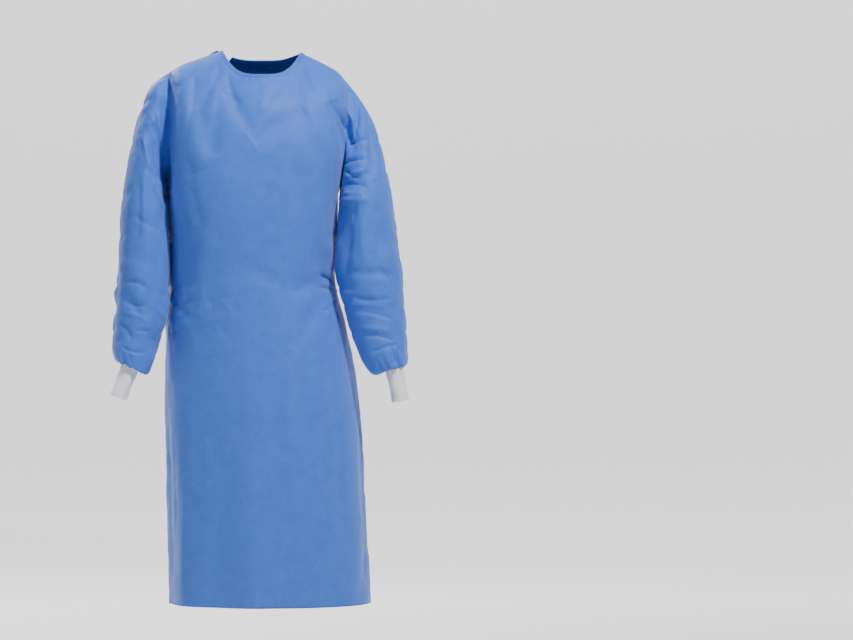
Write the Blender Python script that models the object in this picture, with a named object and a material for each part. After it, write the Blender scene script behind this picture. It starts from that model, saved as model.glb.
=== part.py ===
"""A wrap-back surgical gown, hollow and shaped as it is worn with the arms down.

Metres. X runs to the wearer's left, Y to the back and Z up. The origin lies between the two
shoulder points at the neck, where the wearer's shoulders carry the gown.

The body is a tube of rings from the neckline to the hem, addressed by an angle (0 at the centre
front, 90 at the wearer's left, 180 at the centre back) and by a level, the number of a ring. Each
sleeve is a tube of rings that starts on an oval armhole in the body. Its ring 2 is the armhole
seam, which hangs down the upper arm, so the body panels own what lies above it.
"""

import math

import bpy
import numpy as np

WALL = 0.002
CUFF_WALL = 0.0024
SEAM_GAP = 0.0003
STEP = 1e-3
RIM_ORDER = np.array([0.35, 0.25, 0.90])

BODY_COLUMNS = (
    "left_x", "left_z", "right_x", "right_z", "front_y", "front_z", "back_y", "back_z", "side_y",
    "square",
)
BODY_RINGS = {
    "neckline": (0.083, -0.002, -0.085, 0.002, -0.075, -0.053, 0.072, -0.012, 0.0, 2.0),
    "collarbone": (0.123, -0.021, -0.125, -0.012, -0.103, -0.088, 0.101, -0.042, 0.0, 2.0),
    "yoke": (0.158, -0.040, -0.166, -0.026, -0.125, -0.125, 0.122, -0.080, 0.0, 2.1),
    "shoulder": (0.182, -0.064, -0.197, -0.043, -0.139, -0.168, 0.134, -0.130, 0.0, 2.3),
    "armpit_front": (0.186, -0.165, -0.205, -0.165, -0.149, -0.228, 0.141, -0.208, 0.0, 2.7),
    "underarm": (0.169, -0.290, -0.204, -0.290, -0.155, -0.300, 0.138, -0.295, 0.010, 2.7),
    "ribs": (0.1655, -0.392, -0.2035, -0.392, -0.156, -0.396, 0.129, -0.394, 0.042, 2.4),
    "waist": (0.160, -0.498, -0.2035, -0.500, -0.153, -0.500, 0.120, -0.515, 0.045, 2.2),
    "hip": (0.186, -0.612, -0.208, -0.615, -0.159, -0.612, 0.138, -0.625, 0.032, 2.2),
    "thigh": (0.210, -0.765, -0.209, -0.765, -0.168, -0.762, 0.155, -0.768, 0.008, 2.1),
    "shin": (0.221, -0.975, -0.203, -0.975, -0.176, -0.972, 0.166, -0.975, 0.0, 2.1),
    "hem": (0.229, -1.190, -0.197, -1.190, -0.181, -1.190, 0.172, -1.190, 0.0, 2.1),
}
RING_NAMES = list(BODY_RINGS)
NECK_EDGE = 0.22
SHOULDER = RING_NAMES.index("shoulder")
UNDERARM = RING_NAMES.index("underarm")
HEM = RING_NAMES.index("hem")
# The shoulder line breaks at the armhole's top, so near the sides the rings join there with a bend.
BEND_FOCUS = 24

ARMHOLE_LEVEL = (SHOULDER + UNDERARM) / 2
ARMHOLE_REACH = (UNDERARM - SHOULDER) / 2
ARMHOLE_FRONT = math.radians(14)
ARMHOLE_BACK = math.radians(15)

SLEEVE_COLUMNS = ("outer_x", "outer_z", "inner_x", "inner_z", "centre_y", "half_depth")
SLEEVE_RINGS = {
    "right": (
        (-0.230, -0.068, -0.2150, -0.291, 0.000, 0.066),
        (-0.263, -0.130, -0.2110, -0.306, -0.004, 0.073),
        (-0.289, -0.232, -0.2035, -0.342, -0.018, 0.076),
        (-0.302, -0.341, -0.1990, -0.404, -0.030, 0.075),
        (-0.308, -0.448, -0.1975, -0.486, -0.036, 0.073),
        (-0.313, -0.540, -0.2035, -0.568, -0.042, 0.070),
        (-0.320, -0.612, -0.2200, -0.636, -0.050, 0.063),
        (-0.321, -0.643, -0.2340, -0.674, -0.064, 0.052),
        (-0.311, -0.667, -0.2470, -0.694, -0.074, 0.041),
        (-0.3005, -0.671, -0.2615, -0.686, -0.079, 0.029),
    ),
    "left": (
        (0.207, -0.095, 0.1800, -0.291, 0.000, 0.066),
        (0.234, -0.137, 0.1760, -0.306, -0.004, 0.073),
        (0.259, -0.212, 0.1680, -0.342, -0.018, 0.076),
        (0.281, -0.320, 0.1615, -0.402, -0.030, 0.076),
        (0.296, -0.428, 0.1570, -0.480, -0.036, 0.075),
        (0.305, -0.520, 0.1750, -0.553, -0.038, 0.074),
        (0.311, -0.600, 0.1980, -0.629, -0.050, 0.065),
        (0.311, -0.640, 0.2190, -0.673, -0.064, 0.053),
        (0.310, -0.669, 0.2420, -0.694, -0.074, 0.041),
        (0.3035, -0.679, 0.2625, -0.687, -0.079, 0.029),
    ),
}
ARMHOLE_SEAM = 2
SLEEVE_END = len(SLEEVE_RINGS["left"])
GATHERS = 8
GATHER_DEPTH = 0.0022
GATHER_START = SLEEVE_END - 2.8
GATHER_FULL = SLEEVE_END - 1.2
GATHER_LOSS = 0.8
CUFF_LENGTH = 0.070
CUFF_HALF_WIDTH = 0.0190
CUFF_HALF_DEPTH = 0.0280
CUFF_SWING = 0.012
CUFF_EASE = 0.06
CUFF_RIBS = 24
RIB_HEIGHT = 0.0005

# Free edges of the back panels: level and angle in degrees.
LEFT_EDGE = ((0, 234), (1, 229), (2, 226), (3, 220), (5, 210), (7, 204), (11, 206))
RIGHT_EDGE = ((0.22, 258), (0.6, 226), (1.15, 204), (2, 188), (3, 174), (3.5, 169), (4, 164))
RIGHT_EDGE += ((4.4, 158), (5, 155), (7, 156), (11, 160))
# The turned-out neck corner of the right panel: level of the fold, then where its edge lies.
FLAP_COLUMNS = ("level", "edge_angle", "edge_level")
FLAP = (
    (0.22, 259.5, 0.24), (0.6, 250, 0.62), (1.15, 241, 1.2), (2, 233, 2.05), (3, 224, 3.05),
    (3.5, 221, 3.42), (3.74, 190, 3.66), (4, 166, 4.0),
)
FLAP_TIP = 3.5
FLAP_END = 4
FLAP_TURN = 0.0032
FLAP_TURN_END = 0.0018
FLAP_LIFT = 0.007
FLAP_BINDING = 0.009
OVERLAP_STEP = 0.0035
OVERLAP_FADE = math.radians(30)

# Largest folds, placed on what faces the front or the back: start and end, width, depth.
FOLD_COLUMNS = ("side", "x0", "z0", "x1", "z1", "width", "depth")
FOLDS = (
    ("front", -0.201, -0.070, -0.199, -0.300, 0.012, -0.010),
    ("front", -0.150, -0.060, -0.110, -0.235, 0.020, -0.005),
    ("front", -0.175, -0.080, -0.125, -0.260, 0.022, 0.006),
    ("front", -0.078, -0.090, -0.020, -0.180, 0.016, -0.004),
    ("front", -0.010, -0.055, 0.030, -0.105, 0.018, -0.004),
    ("front", 0.150, -0.110, 0.194, -0.225, 0.012, -0.009),
    ("front", 0.200, -0.095, 0.196, -0.215, 0.013, -0.006),
    ("front", 0.235, -0.140, 0.238, -0.275, 0.012, -0.006),
    ("front", 0.180, -0.300, 0.228, -0.262, 0.011, -0.005),
    ("front", 0.168, -0.325, 0.230, -0.322, 0.010, 0.005),
    ("front", -0.234, -0.160, -0.216, -0.285, 0.012, -0.012),
    ("front", 0.060, -0.520, 0.150, -0.490, 0.016, -0.005),
    ("front", 0.065, -0.640, 0.155, -0.500, 0.018, -0.005),
    ("front", 0.170, -0.478, 0.290, -0.482, 0.010, -0.004),
    ("front", 0.200, -0.545, 0.300, -0.560, 0.012, -0.004),
    ("front", -0.290, -0.520, -0.255, -0.580, 0.010, -0.004),
    ("front", 0.180, -0.325, 0.176, -0.520, 0.018, -0.012),
    ("front", -0.100, -0.090, -0.105, -0.230, 0.018, -0.005),
    ("front", -0.020, -0.200, 0.090, -0.130, 0.020, -0.005),
    ("back", 0.165, -0.140, 0.120, -0.300, 0.016, -0.009),
    ("back", 0.130, -0.090, 0.100, -0.250, 0.018, 0.006),
    ("back", 0.245, -0.150, 0.185, -0.230, 0.010, -0.007),
    ("back", 0.060, -0.140, 0.050, -0.400, 0.022, -0.008),
    ("back", 0.110, -0.300, 0.085, -0.480, 0.018, -0.007),
    ("back", 0.150, -0.330, 0.145, -0.520, 0.010, -0.006),
    ("back", 0.135, -0.560, 0.150, -0.820, 0.012, -0.006),
    ("back", 0.100, -0.560, 0.105, -0.900, 0.014, -0.006),
    ("back", -0.150, -0.120, -0.165, -0.300, 0.014, -0.008),
    ("back", -0.120, -0.100, -0.130, -0.280, 0.018, 0.005),
    ("back", -0.130, -0.400, -0.100, -0.560, 0.020, -0.005),
)
# Soft flutes of the skirt: waves round the body, height at the hem, phase in degrees.
FLUTES = ((4, 0.0035, 20), (7, 0.0030, 65), (9, 0.0022, 140))
FLUTE_TOP = -0.55
FLUTE_FULL = -1.10

COLUMNS_FRONT = 24
COLUMNS_BACK = 13
COLUMNS_FLAP = 4
COLUMNS_CAP = 3
ROWS_NECK = 7
ROWS_ARMHOLE = 12
ROWS_SKIRT = 14
ROWS_SLEEVE = 15

BINDING_WALL = 0.003
TIE_THICK = 0.0016
TAPE_THICK = 0.0014
TAPE_LIFT = 0.0012
SEAT_GAP = 0.0005
HOOK_LIFT = 0.0022
# The hook tape: angle of its end and how far it reaches in degrees, then its upper edge's level,
# its width in levels and its slant.
HOOK_ANGLE = 143
HOOK_SPAN = 60
HOOK_LEVEL = 0.46
HOOK_DROP = 0.62
HOOK_SLANT = 0.06
# The loop tape on the turned-out corner: levels of its ends, shares of the corner's width.
LOOP_LEVELS = (2.35, 3.38)
LOOP_SHARES = (0.84, 0.985)

# Strips that lie on a back panel: where the centre line runs, how far the strip stands off, how
# wide it is, which way its width lies (0 level, 90 upright) and its roll about the centre line.
STRIP_COLUMNS = ("angle", "height", "lift", "width", "lay", "roll")
STRIPS = {
    "neck_tie_left": ("left", 15, 2, (
        (99, -0.016, 0.0001, 0.011, 0, 0), (108, -0.055, 0.0036, 0.010, 10, 0),
        (117, -0.110, 0.0040, 0.010, 10, 0), (122, -0.180, 0.0055, 0.010, 0, 12),
        (124, -0.260, 0.0050, 0.010, 0, 0), (123.5, -0.340, 0.0045, 0.010, 0, -15),
        (119, -0.400, 0.0045, 0.010, -10, 0), (113, -0.454, 0.0050, 0.011, -20, 0),
    )),
    "neck_tie_right": ("right", 16, 2, (
        (221.5, -0.140, 0.0145, 0.010, 0, 0), (222, -0.166, 0.0140, 0.010, 0, 0),
        (222.5, -0.195, 0.0105, 0.010, 0, 0),
        (222, -0.240, 0.0050, 0.010, 0, 10), (222, -0.330, 0.0040, 0.010, 0, 0),
        (227, -0.430, 0.0040, 0.010, 10, -12), (230, -0.530, 0.0045, 0.010, 0, 0),
        (230, -0.640, 0.0040, 0.010, 0, 0),
    )),
    "belt": ("left", 9, 4, (
        (94, -0.530, -0.0003, 0.038, 90, 0), (104, -0.534, 0.0022, 0.038, 90, 0),
        (117, -0.541, 0.0030, 0.037, 90, 0), (127, -0.550, 0.0030, 0.034, 90, 0),
    )),
    "belt_stub": ("right", 9, 4, (
        (143, -0.552, 0.0040, 0.015, 90, 0), (152, -0.540, 0.0030, 0.017, 90, 0),
        (163, -0.525, 0.0022, 0.020, 90, 0), (175, -0.510, 0.0016, 0.030, 90, 0),
    )),
    "belt_end_long": ("left", 18, 3, (
        (131, -0.606, 0.0098, 0.018, 0, 0), (131, -0.650, 0.0120, 0.024, 0, 40),
        (131, -0.740, 0.0190, 0.030, 0, 68), (130, -0.820, 0.0180, 0.032, 0, 60),
        (130, -0.880, 0.0100, 0.033, 0, 14), (129, -0.980, 0.0080, 0.033, 0, 4),
        (128.5, -1.090, 0.0085, 0.033, 0, -6),
    )),
    "belt_end_short": ("left", 10, 3, (
        (141.5, -0.606, 0.0080, 0.016, 0, 0), (140.5, -0.650, 0.0070, 0.026, 0, 0),
        (140.5, -0.750, 0.0080, 0.033, 0, -10), (141.5, -0.845, 0.0085, 0.033, 0, 6),
    )),
    "belt_loop": ("left", 20, 4, (
        (135.5, -0.556, 0.0060, 0.030, 0, 0), (135.5, -0.580, 0.0065, 0.040, 0, 0),
        (135.5, -0.600, 0.0080, 0.045, 0, 0), (135.5, -0.612, 0.0150, 0.045, 0, 0),
        (135.5, -0.602, 0.0222, 0.045, 0, 0), (135.5, -0.582, 0.0222, 0.042, 0, 0),
        (135.5, -0.562, 0.0184, 0.034, 0, 0),
    )),
    "belt_wrap": ("left", 12, 6, (
        (126, -0.532, 0.0054, 0.034, 58, 0), (129, -0.541, 0.0270, 0.037, 58, 0),
        (134, -0.556, 0.0390, 0.036, 56, 0), (139, -0.572, 0.0390, 0.033, 52, 0),
        (142.5, -0.588, 0.0248, 0.026, 46, 0),
    )),
}

CLOTH_BLUE = (0.14, 0.29, 0.62, 1)
BINDING_BLUE = (0.12, 0.26, 0.58, 1)
KNIT_WHITE = (0.80, 0.79, 0.84, 1)
TAPE_WHITE = (0.86, 0.86, 0.92, 1)


def clear_scene():
    for item in list(bpy.data.objects):
        bpy.data.objects.remove(item)


def material(name, colour, roughness):
    made = bpy.data.materials.new(name)
    made.use_nodes = True
    shader = made.node_tree.nodes["Principled BSDF"]
    shader.inputs["Base Color"].default_value = colour
    shader.inputs["Roughness"].default_value = roughness
    shader.inputs["Metallic"].default_value = 0.0
    return made


def smooth(low, high, value):
    """0 below low, 1 above high and an even S between them."""
    share = np.clip((value - low) / (high - low), 0.0, 1.0)
    return share * share * (3 - 2 * share)


def unit(vectors):
    return vectors / np.maximum(np.linalg.norm(vectors, axis=-1, keepdims=True), 1e-12)


def through(rows, at):
    """A Catmull-Rom curve through the rows, read at row numbers that may lie between two rows."""
    rows = np.asarray(rows, float)
    padded = np.vstack([2 * rows[0] - rows[1], rows, 2 * rows[-1] - rows[-2]])
    at = np.asarray(at, float)
    first = np.clip(np.floor(at).astype(int), 0, len(rows) - 2)
    f = (at - first)[..., None]
    a, b, c, d = (padded[first + k] for k in range(4))
    return b + 0.5 * f * (c - a + f * (2 * a - 5 * b + 4 * c - d + f * (3 * b - 3 * c + d - a)))


def centripetal(points, share):
    """The curve through four point arrays, between the second and the third of them."""
    knots = [np.zeros(points[0].shape[:-1] + (1,))]
    for before, after in zip(points, points[1:]):
        gap = np.linalg.norm(after - before, axis=-1, keepdims=True)
        knots.append(knots[-1] + np.sqrt(np.maximum(gap, 1e-9)))
    t = knots[1] + (knots[2] - knots[1]) * share

    def mix(i, j, low, high):
        return low + (high - low) * (t - knots[i]) / (knots[j] - knots[i])

    line = [mix(k, k + 1, points[k], points[k + 1]) for k in range(3)]
    curve = [mix(k, k + 2, line[k], line[k + 1]) for k in range(2)]
    return mix(1, 2, curve[0], curve[1])


def body_base(angle, level):
    """The body tube before its folds."""
    rows = np.array(list(BODY_RINGS.values()))
    sine, cosine = np.sin(angle), np.cos(angle)
    above = through(rows[: SHOULDER + 1], np.minimum(level, SHOULDER))
    below = through(rows[SHOULDER:], np.maximum(level, SHOULDER) - SHOULDER)
    bent = np.where(np.asarray(level)[..., None] < SHOULDER, above, below)
    near_side = (np.abs(sine) ** BEND_FOCUS)[..., None]
    ring = through(rows, level) * (1 - near_side) + bent * near_side
    ring = dict(zip(BODY_COLUMNS, np.moveaxis(ring, -1, 0)))
    centre = (ring["left_x"] + ring["right_x"]) / 2
    half_width = (ring["left_x"] - ring["right_x"]) / 2
    depth = np.where(cosine > 0, ring["side_y"] - ring["front_y"], ring["back_y"] - ring["side_y"])
    power = ring["square"]
    radius = (np.abs(cosine / depth) ** power + np.abs(sine / half_width) ** power) ** (-1 / power)
    side_z = np.where(sine > 0, ring["left_z"], ring["right_z"])
    middle_z = np.where(cosine > 0, ring["front_z"], ring["back_z"])
    sideways = sine**4
    height = side_z * sideways + middle_z * (1 - sideways)
    return np.stack([centre + radius * sine, ring["side_y"] - radius * cosine, height], axis=-1)


def normals_of(surface, first, second):
    """Outward normals of a surface by differences over both of its coordinates."""
    across = surface(first + STEP, second) - surface(first - STEP, second)
    down = surface(first, second + STEP) - surface(first, second - STEP)
    return unit(np.cross(down, across))


def fold_height(points, normals):
    """How far the folds move each point along its normal."""
    height = np.zeros(points.shape[:-1])
    for row in FOLDS:
        fold = dict(zip(FOLD_COLUMNS, row))
        run = np.array([fold["x1"] - fold["x0"], fold["z1"] - fold["z0"]])
        away = points[..., [0, 2]] - np.array([fold["x0"], fold["z0"]])
        along = np.clip(away @ run / (run @ run), 0, 1)
        off = np.linalg.norm(away - along[..., None] * run, axis=-1)
        taper = np.sqrt(4 * along * (1 - along))
        facing = -normals[..., 1] if fold["side"] == "front" else normals[..., 1]
        shape = np.exp(-((off / fold["width"]) ** 2)) * taper * smooth(0.02, 0.35, facing)
        height += fold["depth"] * shape
    return height


def flute_height(angle, height):
    """Soft vertical flutes that deepen from the hips to the hem."""
    wave = sum(size * np.cos(count * angle + math.radians(at)) for count, size, at in FLUTES)
    return wave * smooth(-FLUTE_TOP, -FLUTE_FULL, -height)


def body(angle, level):
    angle, level = np.broadcast_arrays(np.asarray(angle, float), np.asarray(level, float))
    base = body_base(angle, level)
    normals = normals_of(body_base, angle, level)
    height = fold_height(base, normals) * smooth(0.3, 1.3, level) + flute_height(angle, base[..., 2])
    return base + normals * height[..., None]


def armhole(arm, turn, scale=1.0):
    """Angle and level of the armhole: turn is 0 at the shoulder and a quarter turn at the front."""
    level = ARMHOLE_LEVEL - scale * ARMHOLE_REACH * np.cos(turn)
    swing = np.where(np.sin(turn) > 0, ARMHOLE_FRONT, ARMHOLE_BACK)
    angle = math.pi / 2 - scale * swing * np.sin(turn)
    return (angle if arm == "left" else -angle), level


def sleeve_ring(arm, index, turn):
    row = dict(zip(SLEEVE_COLUMNS, SLEEVE_RINGS[arm][index]))
    outer = np.array([row["outer_x"], row["centre_y"], row["outer_z"]])
    inner = np.array([row["inner_x"], row["centre_y"], row["inner_z"]])
    front = np.array([0.0, -row["half_depth"], 0.0])
    cosine, sine = np.cos(turn)[..., None], np.sin(turn)[..., None]
    return (outer + inner) / 2 + cosine * (outer - inner) / 2 + sine * front


def sleeve_base(arm, turn, level):
    """The sleeve tube before its folds. Level 0 is the armhole."""
    rings = [body(*armhole(arm, turn, 1.5)), body(*armhole(arm, turn))]
    rings += [sleeve_ring(arm, k, turn) for k in range(SLEEVE_END)]
    rings.append(2 * rings[-1] - rings[-2])
    rings = np.array(rings)
    first = np.clip(np.floor(level).astype(int), 0, SLEEVE_END - 1)
    index = np.indices(first.shape)
    points = [rings[(first + k, *index)] for k in range(4)]
    return centripetal(points, (level - first)[..., None])


def sleeve(arm, turn, level):
    turn, level = np.broadcast_arrays(np.asarray(turn, float), np.asarray(level, float))
    base = sleeve_base(arm, turn, level)
    normals = sleeve_normals(lambda a, b: sleeve_base(arm, a, b), arm, turn, level)
    gather = smooth(GATHER_START, GATHER_FULL, level)
    gather = gather * (1 - GATHER_LOSS * smooth(SLEEVE_END - 1, SLEEVE_END, level))
    height = fold_height(base, normals) * smooth(0, 0.6, level)
    height += GATHER_DEPTH * np.cos(GATHERS * turn) * gather
    return base + normals * height[..., None]


def sleeve_normals(surface, arm, turn, level):
    normals = normals_of(surface, turn, level)
    return -normals if arm == "left" else normals


def grid_faces(points, normals):
    """Quads of a grid of points, wound so that they face the way its normals point."""
    rows, columns = points.shape[:2]
    corner = np.arange((rows - 1) * columns).reshape(rows - 1, columns)[:, :-1]
    quads = np.stack([corner, corner + 1, corner + 1 + columns, corner + columns], axis=-1)
    quads = quads.reshape(-1, 4)
    flat = points.reshape(-1, 3)
    facing = np.cross(flat[quads[:, 2]] - flat[quads[:, 0]], flat[quads[:, 3]] - flat[quads[:, 1]])
    agrees = (facing * normals.reshape(-1, 3)[quads[:, 0]]).sum() > 0
    return quads if agrees else quads[:, ::-1]


def weld(patches):
    """Joins grids of (points, normals) that share edges. Shared points get their mean normal."""
    points = np.concatenate([p.reshape(-1, 3) for p, _ in patches])
    normals = np.concatenate([n.reshape(-1, 3) for _, n in patches])
    faces, start = [], 0
    for grid, facing in patches:
        faces.append(grid_faces(grid, facing) + start)
        start += grid.shape[0] * grid.shape[1]
    keys = np.round(points / 1e-5).astype(np.int64)
    _, keep, index = np.unique(keys, axis=0, return_index=True, return_inverse=True)
    index = index.reshape(-1)
    total = np.zeros((len(keep), 3))
    np.add.at(total, index, normals)
    return points[keep], unit(total), index[np.concatenate(faces)]


def boundary_edges(faces):
    """The open edges of a sheet, each with the face that owns it."""
    ends = np.stack([faces, np.roll(faces, -1, axis=1)], axis=-1).reshape(-1, 2)
    owner = np.repeat(np.arange(len(faces)), 4)
    _, index, count = np.unique(
        np.sort(ends, axis=1), axis=0, return_inverse=True, return_counts=True
    )
    single = count[index.reshape(-1)] == 1
    return ends[single], owner[single]


def inset(points, faces, edges, owner, distance):
    """Moves the points of open edges into the sheet by the same distance from each edge."""
    run = unit(points[edges[:, 1]] - points[edges[:, 0]])
    toward = points[faces[owner]].mean(axis=1) - points[edges[:, 0]]
    inward = unit(toward - (toward * run).sum(-1, keepdims=True) * run)
    total = np.zeros_like(points)
    count = np.zeros(len(points))
    for end in range(2):
        np.add.at(total, edges[:, end], inward)
        np.add.at(count, edges[:, end], 1)
    open_points = count > 0
    mean = total[open_points] / count[open_points][:, None]
    length = np.maximum(np.linalg.norm(mean, axis=1, keepdims=True), 0.5)
    moved = points.copy()
    moved[open_points] += distance * mean / length**2
    return moved


def add_mesh(name, points, faces, finish):
    mesh = bpy.data.meshes.new(name)
    mesh.from_pydata([tuple(p) for p in points], [], [tuple(f) for f in faces])
    mesh.validate()
    mesh.materials.append(finish)
    mesh.shade_smooth()
    mesh.set_sharp_from_angle(angle=math.radians(50))
    made = bpy.data.objects.new(name, mesh)
    GOWN.objects.link(made)
    return made


def wall(name, patches, finish, thick=WALL, outward=0.0):
    """A closed wall that hangs inside the outer points, with a rim along every open edge.

    Walls that meet at a seam share its normals, so their rims stay the seam gap apart.
    """
    points, normals, faces = weld(patches)
    edges, owner = boundary_edges(faces)
    points = inset(points, faces, edges, owner, SEAM_GAP / 2)
    outer = points + normals * outward
    inner = outer - normals * thick
    count = len(points)
    every = [tuple(f) for f in np.concatenate([faces, faces[:, ::-1] + count])]
    for start, end in edges:
        if points[start] @ RIM_ORDER < points[end] @ RIM_ORDER:
            every += [(end, start, end + count), (start, start + count, end + count)]
        else:
            every += [(end, start, start + count), (end, start + count, end + count)]
    return add_mesh(name, np.concatenate([outer, inner]), every, finish)


def body_patch(angle, level):
    return body(angle, level), normals_of(body, angle, level)


def sleeve_patch(arm, turn, level):
    turn, level = np.broadcast_arrays(turn, level)
    points = sleeve(arm, turn, level)
    return points, sleeve_normals(lambda a, b: sleeve(arm, a, b), arm, turn, level)


def armhole_turns():
    """Turns from the armhole's top to its foot: halfway between even turns and even levels."""
    share = np.linspace(0, 1, ROWS_ARMHOLE + 1)
    return (share * math.pi + np.arccos(1 - 2 * share)) / 2


def panel_levels():
    """Levels of the body rows; those beside the armhole follow its turns."""
    beside = ARMHOLE_LEVEL - ARMHOLE_REACH * np.cos(armhole_turns())
    above = np.linspace(NECK_EDGE, SHOULDER, ROWS_NECK + 1)[:-1]
    below = np.linspace(UNDERARM, HEM, ROWS_SKIRT + 1)[1:]
    return np.concatenate([above, beside, below])


def armhole_swing(levels, swing):
    """How far the armhole cuts into a panel at each level."""
    share = np.clip((levels - ARMHOLE_LEVEL) / ARMHOLE_REACH, -1, 1)
    return swing * np.sqrt(1 - share**2)


def cap_patch(arm, face):
    """The part of a panel that lies over the upper arm, from the armhole out to its seam."""
    turns = armhole_turns() * (1 if face == "front" else -1)
    levels = np.linspace(0, ARMHOLE_SEAM, COLUMNS_CAP + 1)
    return sleeve_patch(arm, turns[:, None], levels[None, :])


def front_panel(finish):
    levels = panel_levels()[:, None]
    edge = math.pi / 2 - armhole_swing(levels, ARMHOLE_FRONT)
    angle = edge * np.linspace(-1, 1, COLUMNS_FRONT + 1)[None, :]
    patches = [body_patch(angle, np.broadcast_to(levels, angle.shape))]
    patches += [cap_patch(arm, "front") for arm in ("left", "right")]
    return wall("front", patches, finish)


def read_table(table, at):
    levels, values = zip(*table)
    return np.interp(at, levels, values)


def back_angles(arm, levels):
    """Angles of a back panel's columns, from its side or shoulder seam to its free edge."""
    cut = armhole_swing(levels, ARMHOLE_BACK)
    share = np.linspace(0, 1, COLUMNS_BACK + 1)[None, :]
    if arm == "left":
        start, end = math.pi / 2 + cut, np.radians(read_table(LEFT_EDGE, levels))
    else:
        start, end = 1.5 * math.pi - cut, np.radians(read_table(RIGHT_EDGE, levels))
    return start + (end - start) * share


def back_surface(arm):
    """The body surface with one back panel stepped in or out where the two overlap."""
    def surface(angle, level):
        points = body(angle, level)
        normals = normals_of(body_base, angle, level)
        if arm == "left":
            step = -OVERLAP_STEP * smooth(math.pi - 2 * OVERLAP_FADE, math.pi - OVERLAP_FADE, angle)
        else:
            step = OVERLAP_STEP * smooth(-2 * OVERLAP_FADE, -OVERLAP_FADE, math.pi - angle)
        return points + normals * step[..., None]

    return surface


def flap_grid(surface, levels, shares):
    """The turned-out corner over the panel, by rows along the fold and shares of its width."""
    fold = np.radians(read_table(RIGHT_EDGE, levels))
    row = {"edge_angle": [(r[0], r[1]) for r in FLAP], "edge_level": [(r[0], r[2]) for r in FLAP]}
    edge_angle = np.radians(read_table(row["edge_angle"], levels))
    edge_level = read_table(row["edge_level"], levels)
    angle = fold + (edge_angle - fold) * shares
    level = levels + (edge_level - levels) * shares
    middle = flap_middle(levels)
    lift = 2 * (FLAP_TURN_END + (FLAP_TURN - FLAP_TURN_END) * middle)
    lift = lift + FLAP_LIFT * np.sin(shares * math.pi / 2) * middle
    normals = normals_of(surface, angle, level)
    return surface(angle, level) + normals * lift[..., None], -normals


def flap_middle(levels):
    """1 along the middle of the fold and 0 at its two ends."""
    return smooth(NECK_EDGE, 1.0, levels) * (1 - smooth(3.4, FLAP_END, levels))


def flap_patch(surface, levels):
    """The corner of the right panel turned out over itself: round the fold, then along the body."""
    fold = np.radians(read_table(RIGHT_EDGE, levels))
    radius = (FLAP_TURN_END + (FLAP_TURN - FLAP_TURN_END) * flap_middle(levels))[..., None]
    start = surface(fold, levels)
    normal = normals_of(surface, fold, levels)
    along = unit(np.gradient(start[:, 0], axis=0))[:, None]
    inward = unit(np.cross(along, normal))
    points, facing = [start], [normal]
    for turn in (60, 120):
        bend = math.radians(turn)
        points.append(start + radius * (inward * math.sin(bend) + normal * (1 - math.cos(bend))))
        facing.append(normal * math.cos(bend) - inward * math.sin(bend))
    over, over_facing = flap_grid(surface, levels, np.linspace(0, 1, COLUMNS_FLAP + 1)[None, :])
    points.append(over)
    facing.append(over_facing)
    return np.concatenate(points, axis=1), unit(np.concatenate(facing, axis=1))


def back_panel(arm, finish):
    levels = panel_levels()[:, None]
    angle = back_angles(arm, levels)
    surface = back_surface(arm)
    level = np.broadcast_to(levels, angle.shape)
    patches = [(surface(angle, level), normals_of(surface, angle, level)), cap_patch(arm, "back")]
    if arm == "right":
        patches.append(flap_patch(surface, levels[levels[:, 0] <= FLAP_END]))
    return wall("back_" + arm, patches, finish)


def sleeve_tube(arm, finish):
    half = armhole_turns()
    turns = np.concatenate([half, 2 * math.pi - half[-2::-1]])
    levels = np.linspace(ARMHOLE_SEAM, SLEEVE_END, ROWS_SLEEVE + 1)
    return wall("sleeve_" + arm, [sleeve_patch(arm, turns[None, :], levels[:, None])], finish)


def cuff(arm, finish):
    """A ribbed knit tube that hangs from inside the sleeve's gathered end."""
    row = dict(zip(SLEEVE_COLUMNS, SLEEVE_RINGS[arm][-1]))
    outer = np.array([row["outer_x"], row["centre_y"], row["outer_z"]])
    inner = np.array([row["inner_x"], row["centre_y"], row["inner_z"]])
    across = unit(outer - inner)
    front = np.array([0.0, -1.0, 0.0])
    down = unit(np.cross(across, front) if arm == "left" else np.cross(front, across))
    turns = np.linspace(0, 2 * math.pi, 2 * CUFF_RIBS + 1)
    rib = RIB_HEIGHT * np.cos(CUFF_RIBS * turns)
    grid, facing = [], []
    for share in np.linspace(0, 1, 4):
        centre = (outer + inner) / 2 + down * (SEAM_GAP + CUFF_LENGTH * share)
        centre = centre + front * CUFF_SWING * share**1.5
        ease = 1 - CUFF_EASE * math.sin(math.pi * share)
        around = across * np.cos(turns)[:, None] * CUFF_HALF_WIDTH * ease
        around = around + front * np.sin(turns)[:, None] * CUFF_HALF_DEPTH * ease
        outward = across * np.cos(turns)[:, None] * CUFF_HALF_DEPTH
        outward = unit(outward + front * np.sin(turns)[:, None] * CUFF_HALF_WIDTH)
        grid.append(centre + around + outward * rib[:, None])
        facing.append(outward)
    return wall("cuff_" + arm, [(np.array(grid), np.array(facing))], finish, CUFF_WALL)


def flap_binding(finish):
    """The rest of the neck binding, along the turned-out corner's edge from the fold to its tip."""
    levels = panel_levels()
    levels = levels[(levels > NECK_EDGE) & (levels <= FLAP_TIP)][:, None]
    edge, facing = flap_grid(back_surface("right"), levels, np.array([[1.0]]))
    before, _ = flap_grid(back_surface("right"), levels, np.array([[0.9]]))
    reach = unit(edge - before) * FLAP_BINDING
    points = np.concatenate([edge, edge + reach / 2, edge + reach], axis=1)
    normals = np.repeat(facing, 3, axis=1)
    return wall("flap_binding", [(points, normals)], finish, WALL)


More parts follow.
